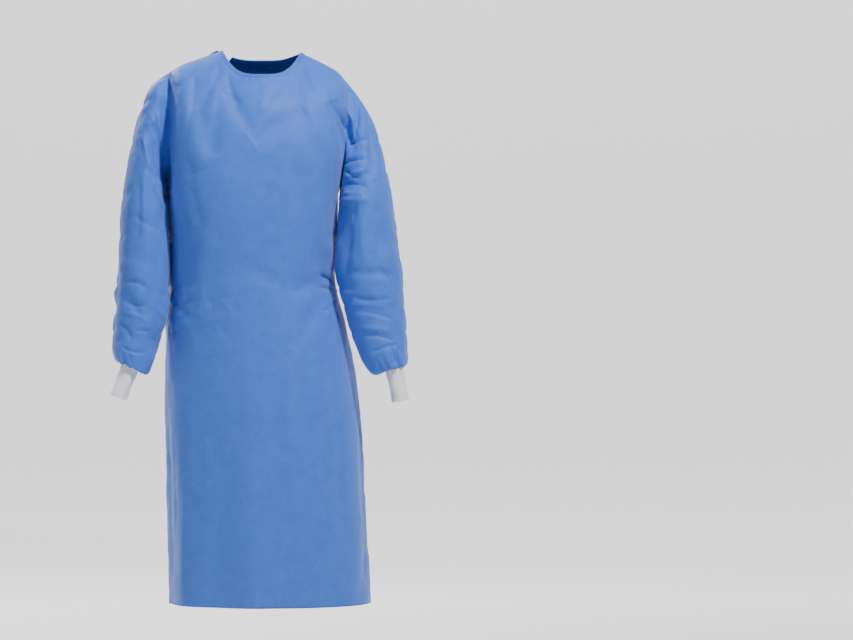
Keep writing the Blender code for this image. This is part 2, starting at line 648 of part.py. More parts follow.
def neck_binding(finish):
    """The bound edge of the neckline, from the left panel's free edge round to the fold."""
    edge = np.array([[NECK_EDGE]])
    right = back_angles("right", edge)[0, ::-1] - 2 * math.pi
    front = np.linspace(-math.pi / 2, math.pi / 2, COLUMNS_FRONT + 1)
    angle = np.concatenate([right, front[1:], back_angles("left", edge)[0, 1:]])[None, :]
    level = np.linspace(0, NECK_EDGE, 3)[:, None]
    angle, level = np.broadcast_arrays(angle, level)
    surface = back_surface("left")
    patch = (surface(angle, level), normals_of(surface, angle, level))
    return wall("neck_binding", [patch], finish, BINDING_WALL, 0.0005)


def level_at(angle, height):
    """The body level whose ring passes a height at an angle."""
    levels = np.linspace(0, HEM, 40 * HEM + 1)
    heights = body_base(np.full_like(levels, angle), levels)[:, 2]
    return np.interp(-height, -heights, levels)


def strip(name, finish):
    """A narrow strip of cloth that follows a path over a back panel."""
    arm, sections, columns, table = STRIPS[name]
    rows = through(table, np.linspace(0, len(table) - 1, sections + 1))
    row = dict(zip(STRIP_COLUMNS, rows.T))
    surface = back_surface(arm)
    angle = np.radians(row["angle"])
    level = np.array([level_at(a, h) for a, h in zip(angle, row["height"])])
    normal = normals_of(body_base, angle, level)
    east = unit(body_base(angle + STEP, level) - body_base(angle - STEP, level))
    up = np.cross(east, normal)
    up = up * np.sign(up[:, 2:])
    centre = surface(angle, level) + normal * row["lift"][:, None]
    path = unit(np.gradient(centre, axis=0))
    lay, roll = np.radians(row["lay"])[:, None], np.radians(row["roll"])[:, None]
    across = east * np.cos(lay) + up * np.sin(lay)
    face = unit(np.cross(across, path))
    face = face * np.sign((face[:1] * normal[:1]).sum())
    rolled = across * np.cos(roll) + face * np.sin(roll)
    face = face * np.cos(roll) - across * np.sin(roll)
    share = np.linspace(-0.5, 0.5, columns + 1)[None, :, None]
    points = centre[:, None] + rolled[:, None] * share * row["width"][:, None, None]
    facing = np.repeat(face[:, None], columns + 1, axis=1)
    return wall(name, [(points, facing)], finish, TIE_THICK, TIE_THICK)


def hook_tape(finish):
    """The straight tape sewn below the binding of the left panel."""
    surface = back_surface("left")
    along, down = np.linspace(0, 1, 9)[None, :], np.linspace(0, 1, 3)[:, None]
    angle = np.radians(HOOK_ANGLE + HOOK_SPAN * along) + 0 * down
    level = HOOK_LEVEL + HOOK_DROP * down + HOOK_SLANT * along
    normals = normals_of(surface, angle, level)
    points = surface(angle, level) + normals * (SEAT_GAP + HOOK_LIFT * down[..., None])
    return wall("hook_tape", [(points, normals)], finish, TAPE_THICK, TAPE_THICK)


def loop_tape(finish):
    """The matching tape along the edge of the turned-out corner, on the side that faces out."""
    levels = np.linspace(*LOOP_LEVELS, 8)[:, None]
    shares = np.linspace(*LOOP_SHARES, 3)[None, :]
    points, facing = flap_grid(back_surface("right"), levels, shares)
    points = points - facing * (WALL + TAPE_LIFT)
    return wall("loop_tape", [(points, -facing)], finish, TAPE_THICK, TAPE_THICK)


def main():
    clear_scene()
    bpy.context.scene.collection.children.link(GOWN)
    cloth = material("gown_cloth", CLOTH_BLUE, 0.7)
    knit = material("cuff_knit", KNIT_WHITE, 0.9)
    bound = material("binding_cloth", BINDING_BLUE, 0.7)
    tape = material("tape_white", TAPE_WHITE, 0.8)
    front_panel(cloth)
    for arm in ("left", "right"):
        back_panel(arm, cloth)
        sleeve_tube(arm, cloth)
        cuff(arm, knit)
    neck_binding(bound)
    flap_binding(bound)
    hook_tape(tape)
    loop_tape(tape)
    for name in STRIPS:
        strip(name, cloth)


GOWN = bpy.data.collections.new("surgical_gown")
main()
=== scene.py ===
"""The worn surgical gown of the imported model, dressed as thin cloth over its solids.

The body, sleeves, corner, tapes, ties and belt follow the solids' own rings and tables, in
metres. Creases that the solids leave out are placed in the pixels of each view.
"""

import math

import bpy
import numpy as np
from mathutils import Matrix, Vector


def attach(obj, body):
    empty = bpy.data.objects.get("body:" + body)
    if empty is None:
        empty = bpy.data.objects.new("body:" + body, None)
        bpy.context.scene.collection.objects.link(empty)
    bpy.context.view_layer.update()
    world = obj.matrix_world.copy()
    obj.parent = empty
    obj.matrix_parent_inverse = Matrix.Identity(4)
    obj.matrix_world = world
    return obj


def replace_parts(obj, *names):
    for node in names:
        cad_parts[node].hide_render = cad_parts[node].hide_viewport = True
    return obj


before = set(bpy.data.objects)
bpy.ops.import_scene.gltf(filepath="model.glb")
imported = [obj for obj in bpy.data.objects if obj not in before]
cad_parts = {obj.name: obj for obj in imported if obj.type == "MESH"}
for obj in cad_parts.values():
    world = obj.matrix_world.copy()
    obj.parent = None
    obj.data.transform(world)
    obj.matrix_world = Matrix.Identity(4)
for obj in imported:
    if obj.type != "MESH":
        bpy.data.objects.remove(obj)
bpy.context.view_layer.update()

WALL = 0.002
CUFF_WALL = 0.0024
SEAM_GAP = 0.0003
STEP = 1e-3

BODY_COLUMNS = (
    "left_x", "left_z", "right_x", "right_z", "front_y", "front_z", "back_y", "back_z", "side_y",
    "square",
)
BODY_RINGS = {
    "neckline": (0.083, -0.002, -0.085, 0.002, -0.075, -0.053, 0.072, -0.012, 0.0, 2.0),
    "collarbone": (0.123, -0.021, -0.125, -0.012, -0.103, -0.088, 0.101, -0.042, 0.0, 2.0),
    "yoke": (0.158, -0.040, -0.166, -0.026, -0.125, -0.125, 0.122, -0.080, 0.0, 2.1),
    "shoulder": (0.182, -0.064, -0.197, -0.043, -0.139, -0.168, 0.134, -0.130, 0.0, 2.3),
    "armpit_front": (0.186, -0.165, -0.205, -0.165, -0.149, -0.228, 0.141, -0.208, 0.0, 2.7),
    "underarm": (0.169, -0.290, -0.204, -0.290, -0.155, -0.300, 0.138, -0.295, 0.010, 2.7),
    "ribs": (0.1655, -0.392, -0.2035, -0.392, -0.156, -0.396, 0.129, -0.394, 0.042, 2.4),
    "waist": (0.160, -0.498, -0.2035, -0.500, -0.153, -0.500, 0.120, -0.515, 0.045, 2.2),
    "hip": (0.186, -0.612, -0.208, -0.615, -0.159, -0.612, 0.138, -0.625, 0.032, 2.2),
    "thigh": (0.210, -0.765, -0.209, -0.765, -0.168, -0.762, 0.155, -0.768, 0.008, 2.1),
    "shin": (0.221, -0.975, -0.203, -0.975, -0.176, -0.972, 0.166, -0.975, 0.0, 2.1),
    "hem": (0.229, -1.190, -0.197, -1.190, -0.181, -1.190, 0.172, -1.190, 0.0, 2.1),
}
RING_NAMES = list(BODY_RINGS)
NECK_EDGE = 0.22
SHOULDER = RING_NAMES.index("shoulder")
UNDERARM = RING_NAMES.index("underarm")
HEM = RING_NAMES.index("hem")
# The shoulder line breaks at the armhole's top, so near the sides the rings join there with a bend.
BEND_FOCUS = 24

ARMHOLE_LEVEL = (SHOULDER + UNDERARM) / 2
ARMHOLE_REACH = (UNDERARM - SHOULDER) / 2
ARMHOLE_FRONT = math.radians(14)
ARMHOLE_BACK = math.radians(15)

SLEEVE_COLUMNS = ("outer_x", "outer_z", "inner_x", "inner_z", "centre_y", "half_depth")
SLEEVE_RINGS = {
    "right": (
        (-0.230, -0.068, -0.2040, -0.299, 0.000, 0.066),
        (-0.263, -0.130, -0.2025, -0.315, -0.004, 0.073),
        (-0.289, -0.232, -0.2010, -0.342, -0.018, 0.076),
        (-0.302, -0.341, -0.1980, -0.404, -0.030, 0.075),
        (-0.308, -0.448, -0.1975, -0.486, -0.036, 0.073),
        (-0.313, -0.540, -0.2035, -0.568, -0.042, 0.070),
        (-0.320, -0.612, -0.2200, -0.636, -0.050, 0.063),
        (-0.321, -0.643, -0.2340, -0.674, -0.064, 0.052),
        (-0.311, -0.667, -0.2470, -0.694, -0.074, 0.041),
        (-0.3005, -0.671, -0.2615, -0.686, -0.079, 0.029),
    ),
    "left": (
        (0.207, -0.095, 0.1660, -0.300, 0.000, 0.066),
        (0.234, -0.137, 0.1630, -0.317, -0.004, 0.073),
        (0.259, -0.212, 0.1615, -0.345, -0.018, 0.076),
        (0.281, -0.320, 0.1585, -0.402, -0.030, 0.076),
        (0.296, -0.428, 0.1570, -0.480, -0.036, 0.075),
        (0.305, -0.520, 0.1750, -0.553, -0.038, 0.074),
        (0.311, -0.600, 0.1980, -0.629, -0.050, 0.065),
        (0.311, -0.640, 0.2190, -0.673, -0.064, 0.053),
        (0.310, -0.669, 0.2420, -0.694, -0.074, 0.041),
        (0.3035, -0.679, 0.2625, -0.687, -0.079, 0.029),
    ),
}
ARMHOLE_SEAM = 2
SLEEVE_END = len(SLEEVE_RINGS["left"])
GATHERS = 8
GATHER_DEPTH = 0.0022
GATHER_START = SLEEVE_END - 2.8
GATHER_FULL = SLEEVE_END - 1.2
GATHER_LOSS = 0.8
CUFF_LENGTH = 0.070
CUFF_HALF_WIDTH = 0.0190
CUFF_HALF_DEPTH = 0.0280
CUFF_SWING = 0.012
CUFF_EASE = 0.06

# Free edges of the back panels: level and angle in degrees.
LEFT_EDGE = ((0, 234), (1, 229), (2, 226), (3, 220), (5, 210), (7, 204), (11, 206))
RIGHT_EDGE = ((0.22, 258), (0.6, 226), (1.15, 204), (2, 188), (3, 174), (3.5, 169), (4, 164))
RIGHT_EDGE += ((4.4, 158), (5, 155), (7, 156), (11, 160))
# The turned-out neck corner of the right panel: level of the fold, then where its edge lies.
FLAP = (
    (0.22, 259.5, 0.24), (0.6, 250, 0.62), (1.15, 241, 1.2), (2, 233, 2.05), (3, 224, 3.05),
    (3.5, 221, 3.42), (3.74, 190, 3.66), (4, 166, 4.0),
)
FLAP_TIP = 3.5
FLAP_END = 4
FLAP_TURN = 0.0032
FLAP_TURN_END = 0.0018
FLAP_LIFT = 0.007
FLAP_BINDING = 0.009
OVERLAP_STEP = 0.0035
OVERLAP_FADE = math.radians(30)

# Largest folds, placed on what faces the front or the back: start and end, width, depth.
FOLD_COLUMNS = ("side", "x0", "z0", "x1", "z1", "width", "depth")
FOLDS = (
    ("front", -0.201, -0.070, -0.199, -0.300, 0.012, -0.010),
    ("front", -0.150, -0.060, -0.110, -0.235, 0.020, -0.005),
    ("front", -0.175, -0.080, -0.125, -0.260, 0.022, 0.006),
    ("front", -0.078, -0.090, -0.020, -0.180, 0.016, -0.004),
    ("front", -0.010, -0.055, 0.030, -0.105, 0.018, -0.004),
    ("front", 0.150, -0.110, 0.194, -0.225, 0.012, -0.009),
    ("front", 0.200, -0.095, 0.196, -0.215, 0.013, -0.006),
    ("front", 0.235, -0.140, 0.238, -0.275, 0.012, -0.006),
    ("front", 0.180, -0.300, 0.228, -0.262, 0.011, -0.005),
    ("front", 0.168, -0.325, 0.230, -0.322, 0.010, 0.005),
    ("front", -0.234, -0.160, -0.216, -0.285, 0.012, -0.012),
    ("front", 0.060, -0.520, 0.150, -0.490, 0.016, -0.005),
    ("front", 0.065, -0.640, 0.155, -0.500, 0.018, -0.005),
    ("front", 0.170, -0.478, 0.290, -0.482, 0.010, -0.004),
    ("front", 0.200, -0.545, 0.300, -0.560, 0.012, -0.004),
    ("front", -0.290, -0.520, -0.255, -0.580, 0.010, -0.004),
    ("front", 0.180, -0.325, 0.176, -0.520, 0.018, -0.012),
    ("front", -0.100, -0.090, -0.105, -0.230, 0.018, -0.005),
    ("front", -0.020, -0.200, 0.090, -0.130, 0.020, -0.005),
    ("back", 0.165, -0.140, 0.120, -0.300, 0.016, -0.009),
    ("back", 0.130, -0.090, 0.100, -0.250, 0.018, 0.006),
    ("back", 0.245, -0.150, 0.185, -0.230, 0.010, -0.007),
    ("back", 0.060, -0.140, 0.050, -0.400, 0.022, -0.008),
    ("back", 0.110, -0.300, 0.085, -0.480, 0.018, -0.007),
    ("back", 0.150, -0.330, 0.145, -0.520, 0.010, -0.006),
    ("back", 0.135, -0.560, 0.150, -0.820, 0.012, -0.006),
    ("back", 0.100, -0.560, 0.105, -0.900, 0.014, -0.006),
    ("back", -0.150, -0.120, -0.165, -0.300, 0.014, -0.008),
    ("back", -0.120, -0.100, -0.130, -0.280, 0.018, 0.005),
    ("back", -0.130, -0.400, -0.100, -0.560, 0.020, -0.005),
)
# Soft flutes of the skirt: waves round the body, height at the hem, phase in degrees.
FLUTES = ((4, 0.0035, 20), (7, 0.0030, 65), (9, 0.0022, 140))
FLUTE_TOP = -0.55
FLUTE_FULL = -1.10


TIE_THICK = 0.0016
TAPE_THICK = 0.0014
TAPE_LIFT = 0.0012
SEAT_GAP = 0.0005
HOOK_LIFT = 0.0022
# The hook tape: angle of its end and how far it reaches in degrees, then its upper edge's level,
# its width in levels and its slant.
HOOK_ANGLE = 143
HOOK_SPAN = 60
HOOK_LEVEL = 0.46
HOOK_DROP = 0.62
HOOK_SLANT = 0.06
# The loop tape on the turned-out corner: levels of its ends, shares of the corner's width.
LOOP_LEVELS = (2.35, 3.38)
LOOP_SHARES = (0.84, 0.985)

# Strips that lie on a back panel: where the centre line runs, how far the strip stands off, how
# wide it is, which way its width lies (0 level, 90 upright) and its roll about the centre line.
STRIP_COLUMNS = ("angle", "height", "lift", "width", "lay", "roll")
STRIPS = {
    "neck_tie_left": ("left", (
        (99, -0.016, 0.0001, 0.011, 0, 0), (108, -0.055, 0.0036, 0.010, 10, 0),
        (117, -0.110, 0.0040, 0.010, 10, 0), (122, -0.180, 0.0055, 0.010, 0, 12),
        (124, -0.260, 0.0050, 0.010, 0, 0), (123.5, -0.340, 0.0045, 0.010, 0, -15),
        (119, -0.400, 0.0045, 0.010, -10, 0), (113, -0.454, 0.0050, 0.011, -20, 0),
    )),
    "neck_tie_right": ("right", (
        (221.5, -0.140, 0.0145, 0.010, 0, 0), (222, -0.166, 0.0140, 0.010, 0, 0),
        (222.5, -0.195, 0.0105, 0.010, 0, 0),
        (222, -0.240, 0.0050, 0.010, 0, 10), (222, -0.330, 0.0040, 0.010, 0, 0),
        (227, -0.430, 0.0040, 0.010, 10, -12), (230, -0.530, 0.0045, 0.010, 0, 0),
        (230, -0.640, 0.0040, 0.010, 0, 0),
    )),
    "belt": ("left", (
        (94, -0.530, -0.0003, 0.038, 90, 0), (104, -0.534, 0.0022, 0.038, 90, 0),
        (117, -0.541, 0.0030, 0.037, 90, 0), (127, -0.550, 0.0030, 0.034, 90, 0),
    )),
    "belt_stub": ("right", (
        (143, -0.552, 0.0040, 0.015, 90, 0), (152, -0.540, 0.0030, 0.017, 90, 0),
        (163, -0.525, 0.0022, 0.020, 90, 0), (175, -0.510, 0.0016, 0.030, 90, 0),
    )),
    "belt_end_long": ("left", (
        (131, -0.606, 0.0098, 0.018, 0, 0), (131, -0.650, 0.0120, 0.024, 0, 40),
        (131, -0.740, 0.0190, 0.030, 0, 68), (130, -0.820, 0.0180, 0.032, 0, 60),
        (130, -0.880, 0.0100, 0.033, 0, 14), (129, -0.980, 0.0080, 0.033, 0, 4),
        (128.5, -1.090, 0.0085, 0.033, 0, -6),
    )),
    "belt_end_short": ("left", (
        (141.5, -0.606, 0.0080, 0.016, 0, 0), (140.5, -0.650, 0.0070, 0.026, 0, 0),
        (140.5, -0.750, 0.0080, 0.033, 0, -10), (141.5, -0.845, 0.0085, 0.033, 0, 6),
    )),
    "belt_loop": ("left", (
        (135.5, -0.556, 0.0060, 0.030, 0, 0), (135.5, -0.580, 0.0065, 0.040, 0, 0),
        (135.5, -0.600, 0.0080, 0.045, 0, 0), (135.5, -0.612, 0.0150, 0.045, 0, 0),
        (135.5, -0.602, 0.0222, 0.045, 0, 0), (135.5, -0.582, 0.0222, 0.042, 0, 0),
        (135.5, -0.562, 0.0184, 0.034, 0, 0),
    )),
    "belt_wrap": ("left", (
        (126, -0.532, 0.0050, 0.034, 58, 0), (129, -0.541, 0.0270, 0.037, 58, 0),
        (134, -0.556, 0.0390, 0.036, 56, 0), (139, -0.572, 0.0390, 0.033, 52, 0),
        (142.5, -0.588, 0.0248, 0.026, 46, 0),
    )),
}


# Views whose pixels place the creases: azimuth, centre column, row of the origin, metres a pixel.
# The side views are given the front view's scale.
VIEWS = {
    "front": (0, 262, 52, 0.002162),
    "back": (155, 613.5, 46, 0.00214),
    "left": (90, 0, 52, 0.002162),
    "right": (270, 0, 52, 0.002162),
    "rear": (205, 0, 46, 0.00214),
}
# Creases: start and end in pixels, width and height in millimetres, sideways bow in pixels,
# sharpness from 0, round, to 1, crisp, and skew, how much wider the side to its left is.
CREASE_COLUMNS = ("x0", "y0", "x1", "y1", "width", "height", "bow", "sharp", "skew")
CREASES = {
    "front": (
        # chest and shoulders, front
        (172, 84, 169, 240, 6, -4.0, -3, 0.9, 0.3), (181, 92, 176, 205, 8, 2.5, -2, 0.4, 0.0),
        (196, 72, 183, 150, 9, -2.0, 3, 0.5, 0.3), (222, 58, 196, 118, 10, -2.0, 4, 0.4, 0.0),
        (214, 66, 205, 150, 14, 2.0, 3, 0.2, 0.0), (229, 72, 238, 108, 9, -2.2, -3, 0.6, 0.3),
        (243, 77, 262, 94, 10, -2.4, 3, 0.4, 0.0), (222, 96, 240, 112, 9, -2.2, 3, 0.4, 0.0),
        (268, 78, 256, 118, 12, 1.8, 3, 0.3, 0.0), (286, 72, 312, 96, 8, -1.8, -3, 0.5, 0.3),
        (300, 62, 332, 98, 9, 2.2, -4, 0.3, 0.0), (298, 84, 318, 150, 12, 1.8, 4, 0.2, 0.0),
        (190, 150, 205, 240, 16, -1.6, -4, 0.2, 0.0), (176, 205, 186, 300, 9, -2.0, 3, 0.5, 0.3),
        (205, 200, 196, 330, 18, 1.6, 5, 0.1, 0.0), (290, 150, 300, 270, 18, -1.5, 5, 0.1, 0.0),
        (318, 190, 328, 262, 12, 1.8, -4, 0.3, 0.0), (331, 150, 328, 236, 7, -1.0, 3, 0.5, 0.3),
        # left armhole, as worn
        (331, 106, 351, 150, 5, -4.2, 3, 0.9, 0.4), (339, 104, 358, 140, 6, 2.4, 3, 0.5, 0.0),
        (355, 84, 353, 146, 5, -3.4, 2, 0.8, 0.3), (362, 92, 364, 138, 6, 1.8, -2, 0.4, 0.0),
        (346, 150, 369, 140, 4, -2.4, 2, 0.8, 0.2), (340, 168, 366, 161, 4, -3.4, 2, 0.8, 0.3),
        (342, 170, 360, 181, 4, -3.0, -2, 0.8, 0.3), (342, 182, 366, 172, 4, 2.4, 2, 0.6, 0.0),
        (368.5, 127, 371.5, 180, 4, -2.8, 1, 0.9, 0.5), (341, 187, 368, 190, 4, -2.8, 2, 0.7, 0.3),
        (340, 194, 364, 195, 4, 2.2, -1, 0.5, 0.0), (352, 196, 349, 262, 7, -2.6, 2, 0.6, 0.4),
        (352, 208, 348, 286, 8, 2.2, 3, 0.4, 0.0), (376, 196, 384, 262, 9, -2.0, -4, 0.4, 0.2),
        (362, 214, 366, 270, 9, 1.6, -3, 0.3, 0.0),
        # right armhole, as worn
        (153, 114, 159, 129, 4, -2.2, 1, 0.8, 0.0), (147, 122, 156, 146, 5, 1.8, 2, 0.5, 0.0),
        (143, 108, 141.5, 160, 3, -1.4, -1, 0.8, 0.0), (145, 132, 153, 178, 4, 2.8, -2, 0.5, 0.0),
        (152, 172, 168, 216, 4, 2.8, -2, 0.5, 0.0), (157, 122, 167, 208, 9, -4.6, 3, 0.3, 0.0),
        (150, 150, 146, 240, 10, 2.0, -3, 0.3, 0.0), (139, 168, 137, 250, 9, -1.8, 3, 0.4, 0.0),
        (160, 200, 157, 284, 8, -2.2, 2, 0.5, 0.2), (132, 214, 166, 232, 7, -1.6, -3, 0.4, 0.0),
        # forearms
        (124, 281, 151, 290, 6, -2.4, 3, 0.6, 0.3), (122, 298, 152, 306, 6, -2.2, -3, 0.6, 0.3),
        (124, 312, 150, 322, 5, 1.6, 2, 0.4, 0.0), (136, 331, 152, 332, 4, -2.0, 1, 0.8, 0.2),
        (120, 322, 134, 342, 6, -1.8, 3, 0.5, 0.0), (122, 345, 148, 352, 5, -1.8, -2, 0.6, 0.2),
        (133, 353, 131, 370, 3.5, -2.0, 1, 0.9, 0.0), (347, 296, 393, 298, 5, -2.4, -3, 0.7, 0.3),
        (346, 305, 390, 309, 5, 1.8, 2, 0.5, 0.0), (350, 312, 394, 321, 5, -2.4, 3, 0.7, 0.3),
        (356, 326, 392, 330, 6, 1.6, -2, 0.4, 0.0), (358, 336, 396, 342, 5, -2.2, 2, 0.7, 0.3),
        (368, 352, 400, 345, 5, -2.0, 2, 0.6, 0.0), (388, 343, 393, 366, 4, -2.2, 1, 0.9, 0.0),
        (398, 343, 394, 366, 4, -1.6, -1, 0.8, 0.0), (372, 266, 396, 292, 8, -1.8, 3, 0.4, 0.0),
        # waist, front
        (338, 282, 318, 273, 5, -2.6, 1, 0.8, 0.3), (337, 289, 314, 290, 5, -1.8, -2, 0.7, 0.3),
        (337, 296, 320, 312, 5, -2.4, 2, 0.8, 0.3), (333, 302, 326, 345, 7, -2.2, 3, 0.5, 0.2),
        (334, 276, 330, 238, 7, 2.0, 2, 0.4, 0.0), (212, 318, 240, 285, 5, 0.9, 3, 0.5, 0.0),
        (216, 296, 236, 312, 6, -0.6, 3, 0.4, 0.0), (170, 300, 190, 322, 10, -0.8, 3, 0.3, 0.0),
        (262, 276, 290, 300, 12, -0.5, 4, 0.2, 0.0),
        # skirt, front
        (176, 440, 172, 598, 6, -1.2, 2, 0.7, 0.2), (188, 460, 184, 600, 7, 1.2, -2, 0.5, 0.0),
        (236, 360, 232, 560, 26, -1.6, 5, 0.0, 0.0), (290, 350, 300, 590, 24, 1.8, -6, 0.0, 0.0),
        (326, 350, 342, 560, 16, -1.6, 4, 0.2, 0.0), (312, 400, 322, 600, 14, 1.4, 3, 0.2, 0.0),
        (206, 400, 204, 600, 18, 1.6, 4, 0.1, 0.0),
    ),
    "back": (
        # back, as photographed
        (560, 95, 577, 162, 6, -4.5, 4, 0.8, 0.3), (571, 92, 586, 150, 8, 3.0, 4, 0.4, 0.0),
        (587, 98, 601, 162, 6, -3.8, 4, 0.8, 0.3), (546, 96, 556, 140, 7, -2.6, 3, 0.6, 0.0),
        (552, 166, 545, 222, 8, -4.5, -3, 0.6, 0.2), (560, 172, 558, 250, 7, 2.6, 3, 0.4, 0.0),
        (540, 180, 534, 226, 6, -2.6, 2, 0.6, 0.0), (538, 226, 543, 286, 6, -3.0, -2, 0.7, 0.2),
        (556, 232, 551, 292, 6, -3.0, 2, 0.7, 0.2), (548, 240, 547, 290, 6, 2.0, 0, 0.5, 0.0),
        (566, 200, 574, 292, 8, -2.6, -3, 0.5, 0.2), (587, 262, 599, 297, 4, 3.0, 2, 0.8, 0.0),
        (580, 240, 590, 292, 5, -2.4, 2, 0.7, 0.0), (598, 250, 603, 290, 5, -2.2, -2, 0.7, 0.0),
        (596, 170, 600, 250, 9, -2.2, 3, 0.4, 0.0), (625.6, 64, 637.7, 91, 4, -1.6, 1, 0.9, 0.0),
        (600, 60, 606, 100, 8, -1.6, -2, 0.5, 0.0), (583, 60, 592, 96, 8, 1.6, 2, 0.4, 0.0),
        (546, 316, 548, 420, 6, -3.0, 2, 0.7, 0.2), (560, 318, 563, 430, 6, -3.0, -2, 0.7, 0.2),
        (553, 320, 554, 400, 6, 1.8, 0, 0.5, 0.0), (604, 330, 600, 520, 9, -3.0, 3, 0.4, 0.2),
        (590, 440, 586, 600, 14, 1.8, -3, 0.2, 0.0), (560, 460, 556, 604, 12, -2.0, 3, 0.3, 0.0),
        (632, 160, 626, 236, 9, -2.0, 3, 0.5, 0.0), (648, 180, 642, 290, 14, -2.0, -5, 0.2, 0.0),
        (664, 150, 660, 262, 12, 1.8, 5, 0.2, 0.0), (676, 220, 668, 340, 12, -2.2, 4, 0.2, 0.0),
        (634, 282, 660, 268, 7, -2.4, 2, 0.6, 0.2), (636, 290, 668, 292, 7, -2.2, -3, 0.5, 0.2),
        (628, 298, 640, 340, 7, -2.4, 3, 0.6, 0.2), (650, 300, 672, 330, 12, 1.8, 3, 0.2, 0.0),
        (646, 350, 640, 480, 14, -2.0, 4, 0.2, 0.0), (668, 380, 668, 560, 18, -2.0, -5, 0.1, 0.0),
        (656, 440, 654, 600, 14, 1.8, 4, 0.1, 0.0), (634, 420, 636, 590, 10, 1.6, -3, 0.2, 0.0),
        (690, 340, 700, 520, 16, -2.0, 5, 0.1, 0.0), (520, 150, 512, 210, 6, -2.4, 2, 0.6, 0.2),
        (528, 160, 524, 240, 6, 1.8, -2, 0.4, 0.0), (505, 200, 530, 214, 6, -2.4, 2, 0.6, 0.2),
        (496, 232, 528, 240, 6, -2.2, -3, 0.6, 0.2), (492, 252, 524, 268, 7, -2.2, 3, 0.5, 0.2),
        (486, 286, 516, 290, 6, -2.4, 2, 0.6, 0.2), (482, 306, 512, 318, 6, -2.4, -2, 0.6, 0.2),
        (476, 330, 508, 334, 6, -2.2, 2, 0.6, 0.2), (470, 348, 500, 358, 5, -2.0, -2, 0.7, 0.2),
    ),
    "left": (
        # the wearer's left side
        (-22, 150, 14, 138, 6, -1.4, 3, 0.6, 0.2), (-24, 168, 18, 172, 6, -1.3, -3, 0.6, 0.2),
        (-26, 196, 12, 204, 7, -1.2, 3, 0.5, 0.2), (-30, 232, 8, 246, 8, -1.1, 3, 0.4, 0.0),
        (-34, 288, 4, 292, 6, -1.3, -2, 0.6, 0.2), (-36, 306, 2, 316, 6, -1.2, 2, 0.6, 0.2),
        (-40, 330, -4, 334, 6, -1.2, -2, 0.6, 0.2), (-4, 74, -10, 124, 7, -2.2, 3, 0.5, 0.0),
        (8, 78, 12, 130, 7, -2.0, -3, 0.5, 0.0), (-20, 400, -24, 600, 16, -2.0, 5, 0.1, 0.0),
        (10, 360, 14, 590, 14, -2.2, -5, 0.2, 0.0), (36, 400, 38, 600, 14, 1.8, 4, 0.1, 0.0),
    ),
    "right": (
        # the wearer's right side
        (-14, 142, 22, 152, 6, -1.4, 3, 0.6, 0.2), (-18, 174, 22, 166, 6, -1.3, -3, 0.6, 0.2),
        (-12, 206, 26, 198, 7, -1.2, 3, 0.5, 0.2), (-8, 246, 30, 236, 8, -1.1, 3, 0.4, 0.0),
        (-4, 288, 34, 284, 6, -1.3, -2, 0.6, 0.2), (-2, 312, 38, 304, 6, -1.2, 2, 0.6, 0.2),
        (4, 334, 40, 328, 6, -1.2, -2, 0.6, 0.2), (6, 72, 2, 120, 7, -2.2, 3, 0.5, 0.0),
        (-8, 76, -12, 128, 7, -2.0, -3, 0.5, 0.0), (12, 380, 16, 600, 16, -2.0, 5, 0.1, 0.0),
        (-14, 360, -16, 590, 14, -2.2, -5, 0.2, 0.0), (-36, 400, -40, 600, 14, 1.8, 4, 0.1, 0.0),
    ),
    "rear": (
        # the hidden half of the back
        (-80, 120, -74, 200, 9, -2.6, 4, 0.5, 0.2), (-64, 130, -60, 240, 12, -2.0, -4, 0.3, 0.0),
        (-50, 170, -46, 290, 12, 1.8, 4, 0.2, 0.0), (-30, 292, -62, 280, 8, -2.0, 3, 0.5, 0.2),
        (-40, 330, -44, 500, 14, -2.0, 4, 0.2, 0.0), (-70, 360, -76, 590, 16, -2.0, -4, 0.1, 0.0),
        (92, 190, 120, 200, 6, -2.2, 3, 0.6, 0.2), (-118, 196, -92, 206, 6, -2.4, 3, 0.6, 0.2),
        (-122, 240, -96, 246, 7, -2.2, -3, 0.5, 0.2), (-126, 300, -98, 296, 6, -2.2, 2, 0.6, 0.2),
    ),
}

# Small crinkles: size of a cell and height, in metres.
CRINKLES = ((0.085, 0.0075), (0.045, 0.0050), (0.021, 0.0022))
TURN = np.array([[0.80, 0.48, -0.36], [-0.60, 0.64, -0.48], [0.0, 0.60, 0.80]])
WOBBLE = 1.1
CREASE_REACH = 4.5
CREASE_DEPTH = 1.6
BINDING_WALL = 0.003
WELD = 2e-6
# Creases fade out between these distances from the neck's middle line.
NECK_CALM = 0.086
NECK_FREE = 0.112
HEM_TURN = 0.016
EDGE_TURN = 0.012

COLUMNS_FRONT = 170
COLUMNS_BACK = 96
COLUMNS_FLAP = 24
COLUMNS_CAP = 26
ROWS_NECK = 40
ROWS_ARMHOLE = 84
ROWS_SKIRT = 250
ROWS_SLEEVE = 190
RIBBON_COLUMNS = 16

# Pleats of the sleeve ends where the cuffs gather them: how many round, height and phase.
PLEATS = ((13, 0.0011, 0.4), (19, 0.0008, 2.1), (7, 0.0009, 4.0))
KNIT_RIBS = 54
KNIT_HEIGHT = 0.0005
KNIT_ROWS = [(-0.12, 0.0012)] + [(k / 40, 0.0) for k in range(-4, 40)]
KNIT_ROWS += [(0.992, 0.0001), (1.0, 0.0008), (1.0, 0.0016), (0.992, 0.0023)]
KNIT_ROWS += [(1 - k / 20, CUFF_WALL) for k in range(1, 21)]

